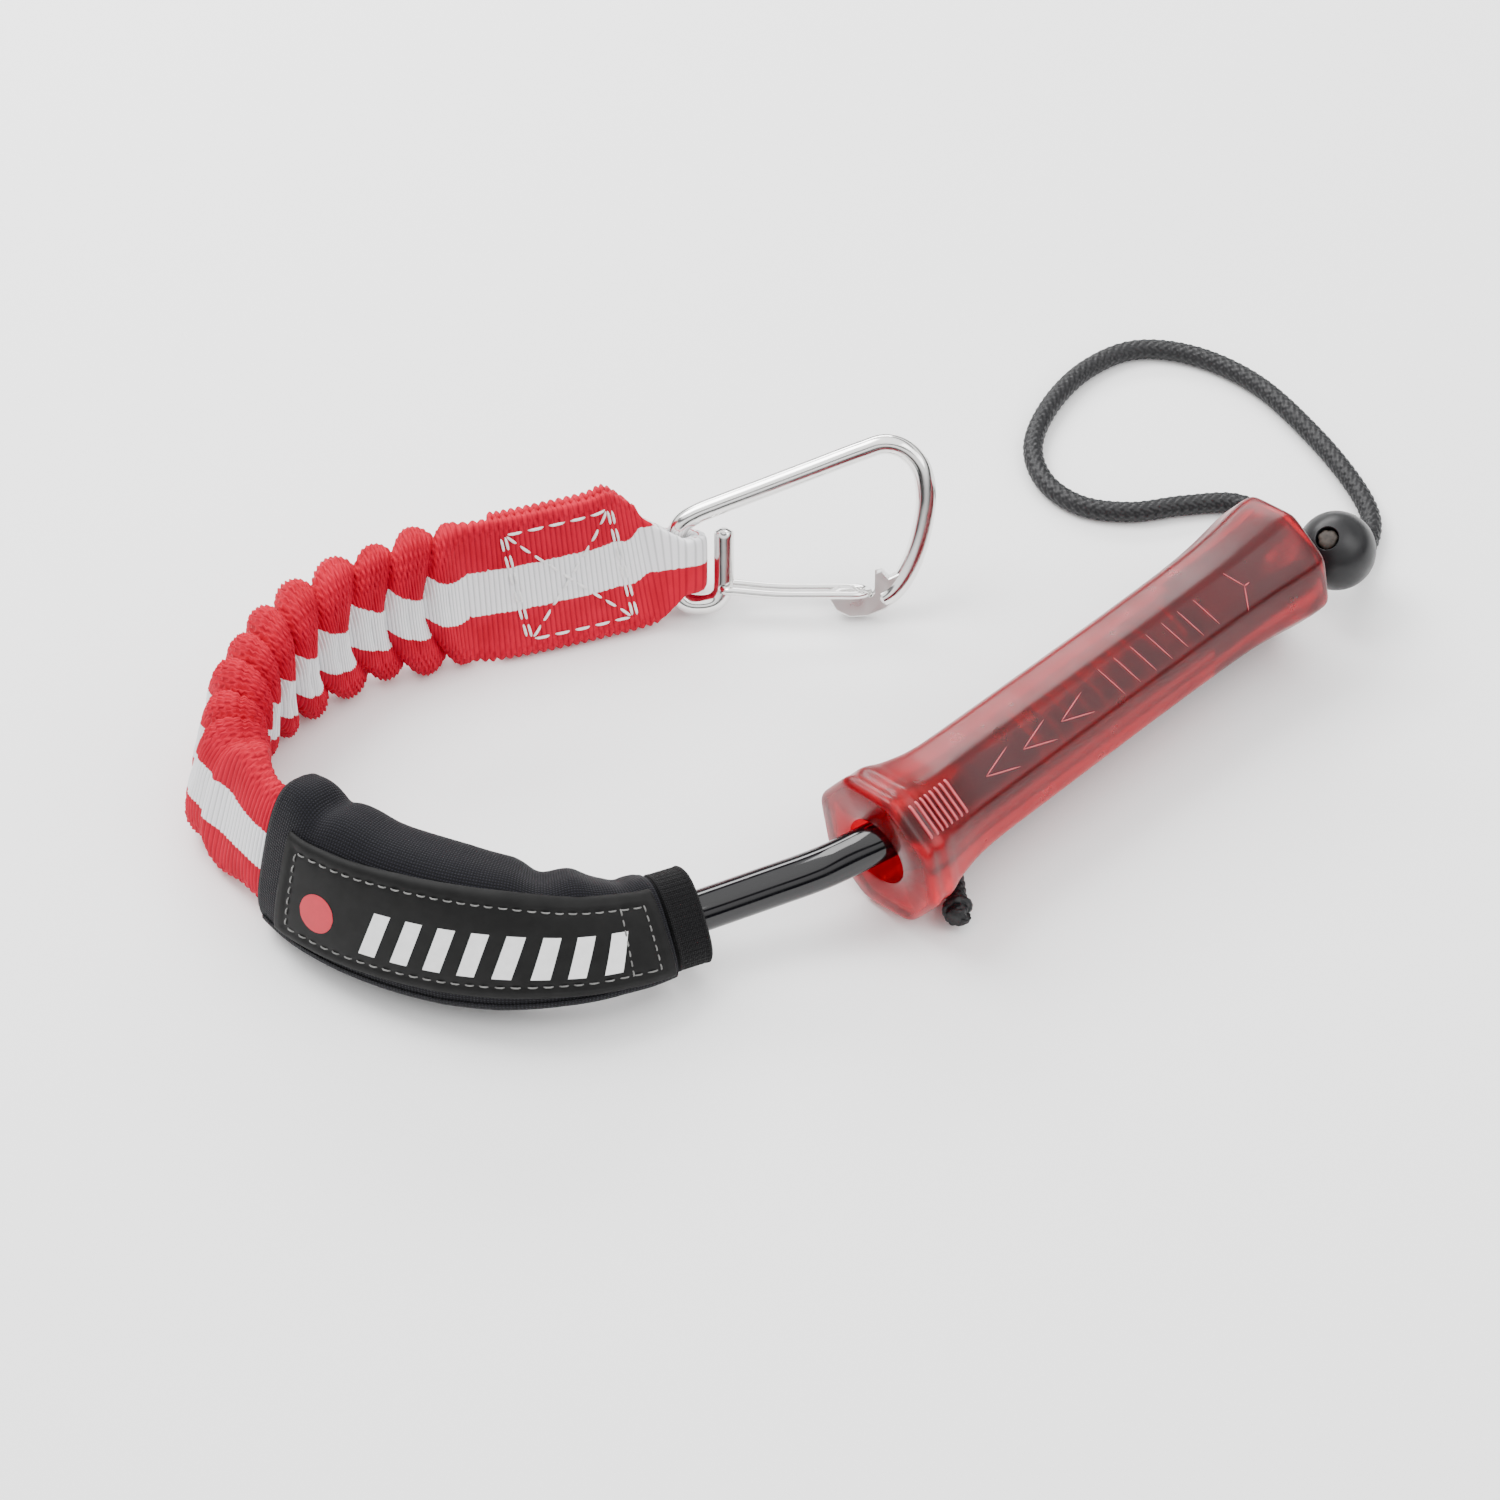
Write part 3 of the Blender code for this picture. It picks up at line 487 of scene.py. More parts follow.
def build_ball(finish):
    """A turned ball with a bore and a shallow dished mouth where the cord's fused end shows."""
    start = math.asin(BALL_MOUTH / BALL_RADIUS)
    profile = []
    for k in range(61):
        a = start + (math.pi - 2 * start) * k / 60
        profile.append((BALL_RADIUS * math.cos(a), BALL_RADIUS * math.sin(a)))
    top = profile[0][0]
    bore = [(5.0, 2.85), (top - 0.8, 2.85), (top - 0.12, 2.95)]
    profile += [(-s, r) for s, r in bore[::-1]] + bore
    side = unit(np.cross(BALL_BORE, (1.0, 0, 0)))
    other = np.cross(BALL_BORE, side)
    angles = round_angles(64)

    def ring(s, r):
        return BALL_CENTRE + BALL_BORE * s + np.outer(np.cos(angles) * r, side) + np.outer(np.sin(angles) * r, other)

    solid("ball_toggle_turned", [ring(s, r) for s, r in profile], finish["ball"], closed=True, sharp=35, body="ball",
          replaces=["ball_toggle"])
    wobble = 1 + 0.06 * np.sin(3 * angles + 1.0) + 0.04 * np.sin(7 * angles)
    plug = [ring(s, r * wobble) for s, r in ((-9.2, 0.3), (-9.25, 1.1), (-9.1, 1.9), (-8.75, 2.35), (-8.1, 2.45))]
    solid("cord_fused_end", plug, finish["cord_end_fused"], body="tether")


# ---- snap hook

ROD_RADIUS = 2.5
HOOK_ORIGIN = np.array((-13.1, 45.6, 3.4))
HOOK_X = np.array((1.0, 0.0, 0.0))
HOOK_Y = np.array((0.0, 0.5, math.sqrt(0.75)))
HOOK_N = np.array((0.0, -math.sqrt(0.75), 0.5))
GATE_PIVOT = (6.6, 4.6)
HOOK_ROUTE = [
    (6.7, 19.6), (6.7, 15.0), (6.7, 9.5), (6.5, 4.4), (4.9, 1.3), (1.6, 0.2), (-2.4, 0.6), (-4.9, 3.0), (-5.3, 6.0),
    (-5.3, 11.2), (-5.3, 16.6), (-3.8, 20.6), (0.0, 23.2), (6.0, 25.7), (14.0, 28.8), (28.0, 34.3), (40.0, 39.0),
    (46.0, 40.8), (51.2, 39.2), (55.0, 34.5), (56.2, 27.5), (55.4, 20.0), (53.6, 13.0), (50.9, 7.0), (47.6, 3.0),
    (43.4, 0.8),
]
NOSE = [
    (51.2, 7.0), (49.6, 8.6), (47.2, 7.4), (45.6, 9.2), (44.3, 8.4), (44.2, 3.4), (43.2, 2.1), (41.2, 2.0),
    (39.9, 2.9), (38.2, 4.4), (35.2, 4.9), (33.0, 3.6), (32.6, 1.6), (34.2, -1.0), (37.6, -2.7), (42.0, -2.5),
    (46.6, -0.6), (50.2, 3.0),
]
NOSE_NOTCH = (4, 5, 6, 7)  # the points of NOSE round its notch, whose inner side doesn't face the middle
NOSE_HALF = 1.9
GATE_SPREAD = 3.8


def hook_point(x, y, n=0.0):
    return HOOK_ORIGIN + HOOK_X * x + HOOK_Y * y + HOOK_N * n


def apply_boolean(target, other, operation):
    cutter = target.modifiers.new("boolean", "BOOLEAN")
    cutter.object, cutter.operation, cutter.solver = other, operation, "EXACT"
    graph = bpy.context.evaluated_depsgraph_get()
    result = bpy.data.meshes.new_from_object(target.evaluated_get(graph))
    target.modifiers.clear()
    target.data = result
    bpy.data.objects.remove(other, do_unlink=True)


def outward(made):
    """Turns the faces of a closed piece outward."""
    shape = bmesh.new()
    shape.from_mesh(made.data)
    bmesh.ops.recalc_face_normals(shape, faces=shape.faces)
    shape.to_mesh(made.data)
    shape.free()


def nose_ring(n, shrink):
    """The nose's outline at height n, drawn in by shrink."""
    centre = np.mean(NOSE, axis=0)
    ring = []
    for k, (x, y) in enumerate(NOSE):
        before, after = np.array(NOSE[k - 1]), np.array(NOSE[(k + 1) % len(NOSE)])
        edge = unit(after - before)
        inward = np.array((edge[1], -edge[0]))
        if np.dot(inward, centre - (x, y)) < 0 and k not in NOSE_NOTCH:
            inward = -inward
        ring.append(hook_point(x + inward[0] * shrink, y + inward[1] * shrink, n))
    return ring


def build_hook(finish):
    """The bent rod, pierced for the gate, and its nose plate. The gate is one sprung wire."""
    line = spline([hook_point(x, y) for x, y in HOOK_ROUTE], 0.7)
    along = np.linspace(0, line_length(line), len(line))
    start = np.clip(along / 1.6, 0, 1)
    radii = np.full(len(line), ROD_RADIUS)
    radii *= np.sqrt(np.clip(1 - (1 - start) ** 2, 0.02, 1)) * 0.35 + 0.65 * np.minimum(1, 0.5 + start)
    radii = np.minimum(radii, ROD_RADIUS)
    radii[-4:] = 1.9
    hook = solid("hook_rod", tube_rings(line, radii[:, None], 32, HOOK_N), finish["steel"])
    faces = [(NOSE_HALF - 0.7, 0.0), (NOSE_HALF - 0.25, 0.12), (NOSE_HALF, 0.45)]
    layers = [nose_ring(-n, shrink) for n, shrink in faces[::-1]] + [nose_ring(n, shrink) for n, shrink in faces]
    plate = solid("hook_nose_plate", layers, finish["steel_satin"], sharp=30, body="hook")
    px, py = GATE_PIVOT
    drill = spline([hook_point(px, py, -6), hook_point(px, py, 6)], count=3)
    hole = solid("gate_hole", tube_rings(drill, 1.3, 24, HOOK_Y), finish["steel"])
    for made in (hook, plate, hole):
        outward(made)
    apply_boolean(hook, hole, "DIFFERENCE")
    hook.data.set_sharp_from_angle(angle=math.radians(38))
    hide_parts("hook_body")
    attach(hook, "hook")

    half = [
        (px, py, 0.5), (px, py, 1.6), (px + 0.1, py, 2.7), (px + 0.9, py - 0.05, GATE_SPREAD - 0.1),
        (px + 3.0, py - 0.1, GATE_SPREAD), (20.0, 3.6, GATE_SPREAD), (34.0, 3.55, GATE_SPREAD),
        (38.6, 3.5, GATE_SPREAD - 0.1), (41.0, 3.5, GATE_SPREAD - 1.2), (42.0, 3.5, GATE_SPREAD - 2.6),
    ]
    loop = half + [(42.2, 3.5, 0.0)] + [(x, y, -n) for x, y, n in half[::-1]]
    wire = spline([hook_point(*p) for p in loop], 0.5)
    solid("gate_wire_loop", tube_rings(wire, 1.0, 20, HOOK_Y), finish["steel"], body="gate", replaces=["gate_wire"])


# ---- webbing

STRAP_LINE = [
    (-18.4, 45.6), (-23.0, 43.2), (-34.0, 38.9), (-47.0, 34.6), (-58.0, 31.4), (-69.0, 29.2), (-80.5, 25.8),
    (-93.0, 21.4), (-104.5, 15.0), (-114.5, 6.4), (-122.0, -4.2), (-126.3, -15.4), (-127.2, -27.2),
    (-123.2, -38.8), (-115.2, -50.2), (-105.2, -59.0), (-94.4, -66.2),
]
CLOTH_WIDTH = 38.0
HALF_WIDTH, PLY = 18.8, 1.3
LOOP_HALF_WIDTH = 14.2
BIGHT_HALF_WIDTH, BIGHT_PLY = 6.8, 2.3
EYE_MIDDLE = (-5.3, 11.2)
LOOP_START, FLAP_END, FLAT_END = 6.0, 45.5, 47.0
TURNED_IN = 6.0
RUFFLE_PITCH = 10.2
OPEN_FROM, RUFFLES_END, CLOSED_AGAIN = 58.0, 146.0, 156.0
RUFFLES = 24
RIB = 1.3
KNUCKLE = 1.6
STRIPE_FROM = 13.65  # from the cloth's edge
EDGE_CLEAR = 0.9  # the lower edge, clear of the table's line
COLUMNS = 112
STITCH, STITCH_GAP = 3.3, 1.3
BUNGEE_FROM = 62.0


class Strap:
    """Where the webbing runs: s is mm along it from the hook's end."""

    def __init__(self):
        self.line = spline([(x, y, 0.4) for x, y in STRAP_LINE], count=600)
        self.length = line_length(self.line)
        self.along = directions(self.line)

    def frame(self, s):
        """A point of the lower edge's line, and directions along, up and out of the cloth there."""
        k = np.clip(s / self.length, 0, 1) * (len(self.line) - 1)
        foot, along = between(self.line, k), unit(between(self.along, k))
        inward = np.cross((0, 0, 1.0), along)
        lean = math.radians(29 - 12 * float(blend(s, 2, 20)) - 32 * float(blend(s, 50, 150)))
        up = np.array((0, 0, 1.0)) * math.cos(lean) - inward * math.sin(lean)
        return foot, along, up, np.cross(along, up)

    def width(self, s):
        return LOOP_HALF_WIDTH + (HALF_WIDTH - LOOP_HALF_WIDTH) * float(blend(s, 2, 15))

    def layer(self, s):
        """How far each flat ply's middle is from the line."""
        return (PLY + 0.2) * (1 + 0.8 * (1 - float(blend(s, LOOP_START, 20))))

    def face(self, s, w, lift=0.0):
        """A point on the flat end's outer face: w up from its middle line."""
        foot, _, up, out = self.frame(s)
        return foot + up * (self.width(s) + EDGE_CLEAR + w) - out * (self.layer(s) + PLY + lift)


def evenly(half_a, half_b, power, count):
    """Points evenly spaced round a superellipse, from the middle of its lower edge."""
    a = np.linspace(0, 2 * np.pi, 1440, endpoint=False) - np.pi / 2
    x = half_b * np.sign(np.cos(a)) * np.abs(np.cos(a)) ** (2 / power)
    y = half_a * np.sign(np.sin(a)) * np.abs(np.sin(a)) ** (2 / power)
    closed = np.stack([np.append(x, x[0]), np.append(y, y[0])], axis=1)
    lengths = np.concatenate([[0], np.cumsum(np.linalg.norm(np.diff(closed, axis=0), axis=1))])
    at = np.linspace(0, lengths[-1], count, endpoint=False)
    return np.interp(at, lengths, closed[:, 0]), np.interp(at, lengths, closed[:, 1])


def weave(u, v, bunched):
    """Height of the woven face at cloth coordinates u, v: cross ribs, and coarser knuckles near the edges.

    bunched is how far the cloth is gathered there, which opens the edges' knuckles out.
    """
    edge = np.minimum(u % CLOTH_WIDTH, CLOTH_WIDTH - u % CLOTH_WIDTH)
    ribs = np.abs(np.sin(np.pi * v / RIB)) ** 0.8
    row = np.floor(edge / KNUCKLE)
    knuckles = np.abs(np.sin(np.pi * (v / (1.6 * RIB) + row / 2))) * np.abs(np.sin(np.pi * edge / KNUCKLE)) ** 0.5
    share = 1 - blend((edge - 3.0 * (1 + bunched)) / (2.4 * (1 + bunched)), 0, 1)
    return ((0.34 * ribs - 0.17) * (1 - share) + (0.80 * knuckles - 0.25) * share) * (1 + 0.5 * bunched)


def build_webbing(finish):
    """One tube of cloth: the flap, its turn round the hook's eye, the flat end and the gathered run.

    Gives the strap's line, the piece and the length of cloth in it.
    """
    strap = Strap()
    rings, vs, outs, us = [], [], [], []
    travel = 0.0
    evenly_across = np.arange(COLUMNS + 1) / COLUMNS * 2 * CLOTH_WIDTH

    def add(centre, up, out, half_w, half_t, power, v, folded=0.0, turned_in=0.0):
        """One ring. folded is how far the cloth keeps its own scale, its upper part turned in behind."""
        x, y = evenly(half_w, half_t, power, COLUMNS)
        height = np.append(y, y[0]) + half_w + turned_in
        kept = np.where(np.arange(COLUMNS + 1) <= COLUMNS / 2, height, 2 * CLOTH_WIDTH - height)
        us.append(evenly_across * (1 - folded) + kept * folded)
        rings.append(centre + np.outer(y, up) + np.outer(x, out))
        turned = np.roll(np.stack([x, y], 1), -1, 0) - np.roll(np.stack([x, y], 1), 1, 0)
        normal = np.stack([turned[:, 1], -turned[:, 0]], 1)
        normal /= np.linalg.norm(normal, axis=1)[:, None] + 1e-9
        outs.append(np.outer(normal[:, 1], up) + np.outer(normal[:, 0], out))
        vs.append(v)

    def flat(s, side, v):
        foot, _, up, out = strap.frame(s)
        half_w = strap.width(s)
        add(foot + up * (half_w + EDGE_CLEAR) + out * strap.layer(s) * side, up, -out * side, half_w, PLY, 7, v,
            1 - float(blend(s, LOOP_START, 12)))

    step = RIB / 5
    for s in np.arange(FLAP_END, LOOP_START, -step):
        flat(s, 1, travel)
        travel += step
    eye, eye_up = hook_point(*EYE_MIDDLE), HOOK_Y
    along = strap.frame(3.0)[1]
    back = unit(-(along - eye_up * np.dot(along, eye_up)))
    across = np.cross(eye_up, back)
    tailward = across if np.dot(across, strap.frame(LOOP_START)[3]) > 0 else -across
    reach = ROD_RADIUS + 0.8 + BIGHT_PLY
    foot, _, up, out = strap.frame(LOOP_START)
    half_w = strap.width(LOOP_START)
    middle = foot + up * (half_w + EDGE_CLEAR)

    def towards_eye(share, side):
        """From the flat plies (share 0) to the turn round the hook's eye (share 1), narrowing."""
        a, b = middle + out * strap.layer(LOOP_START) * side, eye + tailward * side * reach
        rise = np.dot(b - a, up)
        t, late, early = float(blend(share, 0, 1)), share**1.3, share**0.6
        low = -half_w * (1 - late) + (rise - BIGHT_HALF_WIDTH) * late
        high = half_w * (1 - early) + (rise + BIGHT_HALF_WIDTH) * early
        add(a * (1 - share) + b * share + up * ((low + high) / 2 - rise * share), up * (1 - t) + eye_up * t,
            -(out * (1 - t) + tailward * t) * side, (high - low) / 2, PLY * (1 - t) + BIGHT_PLY * t, 6, travel,
            1.0, TURNED_IN * late)

    turn_from = len(rings)
    for share in np.linspace(0, 1, 14)[1:-1]:
        towards_eye(share, 1)
        travel += 0.6
    for a in np.linspace(math.pi / 2, -math.pi / 2, 34):
        radial = back * math.cos(a) + tailward * math.sin(a)
        add(eye + radial * reach, eye_up, -radial, BIGHT_HALF_WIDTH, BIGHT_PLY, 6, travel, 1.0, TURNED_IN)
        travel += 0.35
    for share in np.linspace(1, 0, 14)[1:-1]:
        towards_eye(share, -1)
        travel += 0.6
    turn_to = len(rings)
    for s in np.arange(LOOP_START, FLAT_END, step):
        flat(s, -1, travel)
        travel += step

    flat_rows = len(rings)
    bunched = [0.0] * flat_rows
    wander = [random.uniform(-0.18, 0.18) for _ in range(RUFFLES)]
    heights = [random.uniform(0.8, 1.15) for _ in range(RUFFLES)]
    edge_share = np.abs(evenly_across[:-1] % CLOTH_WIDTH - CLOTH_WIDTH / 2) / (CLOTH_WIDTH / 2)
    around = np.arange(COLUMNS) / COLUMNS
    ruffle = []
    s = FLAT_END
    while s < strap.length - 0.3:
        open_share = float(blend(s, FLAT_END, OPEN_FROM + 4) * (1 - blend(s, RUFFLES_END, CLOSED_AGAIN)))
        foot, _, up, out = strap.frame(s)
        tucked = float(blend(s, strap.length - 44, strap.length - 30))
        half_w = HALF_WIDTH - 2.6 * open_share - 2.9 * tucked
        half_t = PLY + 2.7 * float(blend(s, 130, 150)) + 3.6 * open_share
        half_t += 2.4 * float(blend(s, 70, 100) * (1 - blend(s, 128, 146)))
        centre = foot + up * (HALF_WIDTH + 0.7) - out * (PLY + 0.2) * float(1 - blend(s, 46, 58))
        add(centre, up, out, half_w, half_t, 6 - 3.4 * max(open_share, tucked), travel)
        phase = (s - OPEN_FROM) / RUFFLE_PITCH
        skew = 0.30 * np.sin(2 * np.pi * around) + 0.10 * np.sin(4 * np.pi * around + 1.3)
        at = phase + skew + np.interp(phase, np.arange(RUFFLES), wander)
        number = np.clip(np.floor(at).astype(int), 0, RUFFLES - 1)
        size = np.array(heights)[number]
        gathered = float(blend(s, 50, 60) * (1 - blend(s, 140, 152)))
        ridge = np.abs(np.sin(np.pi * at)) ** 0.72 * (2.3 + 2.4 * edge_share) * size
        pleat = np.abs(np.sin(2 * np.pi * at + 0.4)) ** 0.8 * 1.25 * (1 - edge_share)
        ruffle.append((ridge + pleat - 1.9) * gathered)
        # Each fold carries the cloth askew, so the stripe steps at the creases.
        bunched.append(gathered)
        askew = 3.0 * (2 * (at % 1) - 1) * (1 - edge_share**4) * gathered
        us[-1][:-1] += np.where(np.arange(COLUMNS) > COLUMNS / 2, askew, -askew)
        s += step / (1 + 0.75 * gathered)
        travel += step
    rings_, outs_, u = np.array(rings), np.array(outs), np.array(us)
    rings_[flat_rows:] += outs_[flat_rows:] * np.array(ruffle)[..., None]
    v = np.array(vs)[:, None]
    relief = weave(evenly_across[None, :-1], v, np.array(bunched)[:, None])
    relief[turn_from:turn_to] *= 0.35  # pressed flat against the hook's rod
    rings_ += outs_ * relief[..., None]
    rings_[..., 2] = np.maximum(rings_[..., 2], 0.12)
    webbing = solid("webbing_tube", rings_, finish["webbing"], us=u, vs=np.broadcast_to(v, (len(v), COLUMNS + 1)),
                    body="tether", replaces=["webbing_tether"])
    return strap, webbing, travel


def capsules(name, runs, radius, finish, body):
    """Short round-ended threads, each a run of points, in one piece."""
    points, faces = [], []
    shape = np.array([0.35, 0.85, 1.0, 1.0, 1.0, 0.85, 0.35]) * radius
    for run in runs:
        rings = tube_rings(spline(run, count=len(shape)), shape[:, None], 8, (0.1, 0.2, 1.0))
        faces += skin(len(shape), 8, first=len(points))
        points += [place(p) for p in rings.reshape(-1, 3)]
    mesh = bpy.data.meshes.new(name)
    mesh.from_pydata([tuple(p) for p in points], [], faces)
    piece(name, mesh, finish, body=body)


def stitches(path):
    """Parts of a path of (s, w) pairs, each one stitch long, with gaps between."""
    out = []
    for (s0, w0), (s1, w1) in zip(path, path[1:]):
        length = math.hypot(s1 - s0, w1 - w0)
        count = max(1, int(length // (STITCH + STITCH_GAP)))
        pitch = length / count
        for k in range(count):
            a, b = (k * pitch + STITCH_GAP / 2) / length, ((k + 1) * pitch - STITCH_GAP / 2) / length
            out.append(((s0 + (s1 - s0) * a, w0 + (w1 - w0) * a), (s0 + (s1 - s0) * b, w0 + (w1 - w0) * b)))
    return out


def stitch(surface, start, end, lifts):
    """The points of one stitch over surface(a, b, lift), between two (a, b) places."""
    (a0, b0), (a1, b1) = start, end
    return [surface(a0 + (a1 - a0) * share, b0 + (b1 - b0) * share, lift) for share, lift in lifts]


def build_box_stitching(strap, finish):
    """A sewn box with a cross in it, its two short sides sewn twice."""
    a, b, c, d = (41.5, 15.0), (14.5, 15.2), (12.0, -14.8), (37.5, -14.6)
    paths = [[a, b, c, d, a], [a, c], [b, d]]
    paths += [[(s + 1.2, w * 0.98) for s, w in (a, d)], [(s - 1.2, w * 0.98) for s, w in (b, c)]]
    lifts = ((0, -0.1), (0.2, 0.28), (0.5, 0.34), (0.8, 0.28), (1, -0.1))
    runs = [stitch(strap.face, start, end, lifts) for path in paths for start, end in stitches(path)]
    capsules("box_stitching", runs, 0.36, finish["thread_white"], "tether")


def build_bungee(strap, finish):
    reach = (strap.length - BUNGEE_FROM) / 18
    route = []
    for k in range(19):
        foot, _, up, _ = strap.frame(BUNGEE_FROM + reach * k)
        route.append(foot + up * (HALF_WIDTH + 0.6))
    line = spline(route + [(-86.0, -65.8, 20.2)], 1.2)
    solid("bungee_core_cord", tube_rings(line, 2.4, 16), finish["bungee_black"], body="tether",
          replaces=["bungee_core"])


# ---- padded wrap, label and cuff

WRAP_LINE = [
    (-107.4, -49.2, 20.8), (-99.0, -57.4, 20.8), (-88.4, -64.6, 20.8), (-76.5, -70.4, 20.8), (-63.5, -74.6, 20.6),
    (-51.0, -76.6, 20.0), (-38.5, -75.6, 18.0), (-28.0, -72.4, 16.2), (-21.4, -69.0, 15.0),
]
WRAP_LEAN = (15.0, 15.0, 16.0, 17.0, 18.0, 21.0, 26.0, 32.0, 35.0)
WRAP_HALF_HEIGHT = (20.0, 20.0, 19.6, 19.2, 18.8, 17.6, 15.4, 13.6, 12.6)
WRAP_HALF_THICK = (8.0, 9.6, 10.6, 11.0, 11.0, 10.4, 9.6, 8.8, 8.2)
LABEL_HALF_HEIGHT = (14.2, 14.2, 14.2, 14.2, 14.0, 13.4, 12.2, 11.4, 10.9)
LABEL_DROP = (1.2, 0.8, -0.2, -1.2, -1.8, -1.8, -1.2, -0.4, 0.3)
WRAP_POWER = 3.2
HEM_SECTION = ((0.0, -0.3), (0.0, 0.35), (0.3, 0.75), (0.7, 0.8), (1.0, 0.5), (1.0, -0.3))
LABEL_FROM, LABEL_TO = 0.085, 0.985
SEAM_INSET = 3.4
PRINT_UNDER, PRINT_OVER = 0.56, 0.68
CUFF_END = (-12.7, -64.3, 13.7)


class Wrap:
    """Where the padded wrap runs: t is the share of its length, from the webbing to the cuff."""

    def __init__(self):
        self.line = spline(WRAP_LINE, count=300)
        self.length = line_length(self.line)
        self.along = directions(self.line)

    def size(self, row, t):
        """A value of a row that is given at nine even places along the wrap."""
        return float(np.interp(np.clip(t, 0, 1) * 8, range(9), row))

    def at(self, t):
        """The middle, and directions up and out of the wrap's front."""
        k = np.clip(t, 0, 1) * (len(self.line) - 1)
        return between(self.line, k), *leaning(between(self.along, k), self.size(WRAP_LEAN, t))

    def front(self, t, z, lift):
        """A point on the wrap's outer side, z above its middle and lift clear of its surface."""
        centre, up, out = self.at(t)
        share = abs(z / self.size(WRAP_HALF_HEIGHT, t))
        depth = self.size(WRAP_HALF_THICK, t) * max(0.0, 1 - share**WRAP_POWER) ** (1 / WRAP_POWER)
        return centre + up * z + out * (depth + lift)

    def label(self, t, across, lift):
        """A point on the label: across runs from -1 at its lower edge to 1 at its upper one."""
        z = self.size(LABEL_HALF_HEIGHT, t) * across - self.size(LABEL_DROP, t)
        return self.front(t, z, 0.45 + lift)


def build_wrap(finish):
    """A padded sleeve with soft folds on its back, and its hem."""
    wrap = Wrap()
    rows, sides = 190, 96
    outer, inner = [], []
    for k in range(rows):
        t = k / (rows - 1)
        centre, up, out = wrap.at(t)
        full, thick = wrap.size(WRAP_HALF_HEIGHT, t), wrap.size(WRAP_HALF_THICK, t)
        x, y = evenly(full, thick, WRAP_POWER, sides)
        high = np.clip(y / full, 0, 1) ** 2
        back = np.clip(-x / thick, 0, 1)
        crown = 1.6 * bump_at(t, 0.06, 0.05) - 1.3 * bump_at(t, 0.135, 0.03) + 0.9 * bump_at(t, 0.22, 0.06)
        crown += -1.9 * bump_at(t, 0.70, 0.045) + 1.4 * bump_at(t, 0.80, 0.05) - 0.8 * bump_at(t, 0.92, 0.03)
        folds = 0.35 * np.sin(9 * t + 2.2 * y / full) + 0.25 * np.sin(23 * t - 3.0 * y / full + 1.0)
        lip = -0.9 * (1 - blend(t, 0, 0.014)) - 0.5 * blend(t, 0.985, 1)
        stretch = 1 + (lip + folds * back * 0.8) / np.hypot(full, thick)
        outer.append(centre + np.outer(y * stretch + high * crown, up) + np.outer(x * stretch, out))
        x, y = evenly(full - 2.4, thick - 2.6, WRAP_POWER, sides)
        lip = 0.7 * (1 - blend(t, 0, 0.014))
        inner.append(centre + np.outer(y * (1 + lip / full), up) + np.outer(x * (1 + lip / thick), out))
    v = np.concatenate([np.linspace(0, wrap.length, rows), np.linspace(wrap.length + 3, 2 * wrap.length + 3, rows)])
    u = np.arange(sides + 1)[None] / sides * 96.0
    solid("neoprene_wrap_sleeve", outer + inner[::-1], finish["neoprene"], closed=True, us=u, vs=v[:, None],
          sharp=60, body="tether", replaces=["neoprene_wrap"])

    # A turned hem runs along the sleeve's lower side, under the label.
    hem = []
    for k in range(150):
        t = 0.03 + 0.96 * k / 149
        full = wrap.size(WRAP_HALF_HEIGHT, t)
        low, high = -full * 0.97, -full * 0.80
        hem.append([wrap.front(t, low + (high - low) * share, lift) for share, lift in HEM_SECTION])
    solid("wrap_hem", hem, finish["neoprene"], us=np.arange(7)[None] * 1.0, vs=np.linspace(0, 95, 150)[:, None],
          body="tether", sharp=50)
    return wrap


def build_label(wrap, finish):
    """The sewn label, its edges turned under, with its stitching and its marks."""
    rows, columns = 170, 44
    rings = []
    for k in range(rows):
        t = LABEL_FROM + (LABEL_TO - LABEL_FROM) * k / (rows - 1)
        to_end = min(k, rows - 1 - k) / (rows - 1) * wrap.length * 0.94
        half = wrap.size(LABEL_HALF_HEIGHT, t)
        under, over = [], []
        for c in range(columns):
            across = 2 * c / (columns - 1) - 1
            to_edge = min((1 - abs(across)) * half, to_end)
            turned = 1 - float(blend(to_edge, 2.3, 2.8))
            seam = float(bump_at(to_edge, SEAM_INSET, 0.35))
            pucker = 0.10 * math.sin(t * 95) * float(bump_at(to_edge, 3.0, 1.6))
            rim = math.sqrt(max(0.0, 1 - (1 - min(to_edge / 0.35, 1)) ** 2))
            under.append(wrap.label(t, across, 0.0))
            over.append(wrap.label(t, across, 0.15 + rim * (0.45 + 0.38 * turned) - 0.16 * seam + pucker))
        rings.append(under + over[::-1])
    u = np.concatenate([np.linspace(0, 28, columns), np.linspace(28, 0, columns), [0.0]])[None]
    label = solid("label_patch_cloth", rings, finish["label"], us=u, vs=np.linspace(0, 100, rows)[:, None], sharp=50,
                  body="tether", replaces=["label_patch"])

    lifts = ((0, 0.1), (0.25, 0.72), (0.5, 0.8), (0.75, 0.72), (1, 0.1))
    runs = []
    inset, count = SEAM_INSET / wrap.length, 27
    for side in (-1, 1):
        for k in range(count):
            a, b = (LABEL_FROM + inset + (LABEL_TO - LABEL_FROM - 2 * inset) * (k + x) / count for x in (0.12, 0.88))
            across = side * (1 - SEAM_INSET / wrap.size(LABEL_HALF_HEIGHT, a))
            runs.append(stitch(wrap.label, (a, across), (b, across), lifts))
    for t in (LABEL_FROM + inset, LABEL_TO - inset, LABEL_TO - 2.6 * inset):
        for k in range(7):
            low, high = (-0.76 + 1.52 * (k + x) / 7 for x in (0.12, 0.88))
            runs.append(stitch(wrap.label, (t, low), (t, high), lifts))
    capsules("label_stitching", runs, 0.2, finish["thread_grey"], "tether")
    build_marks(wrap, finish)
    return label


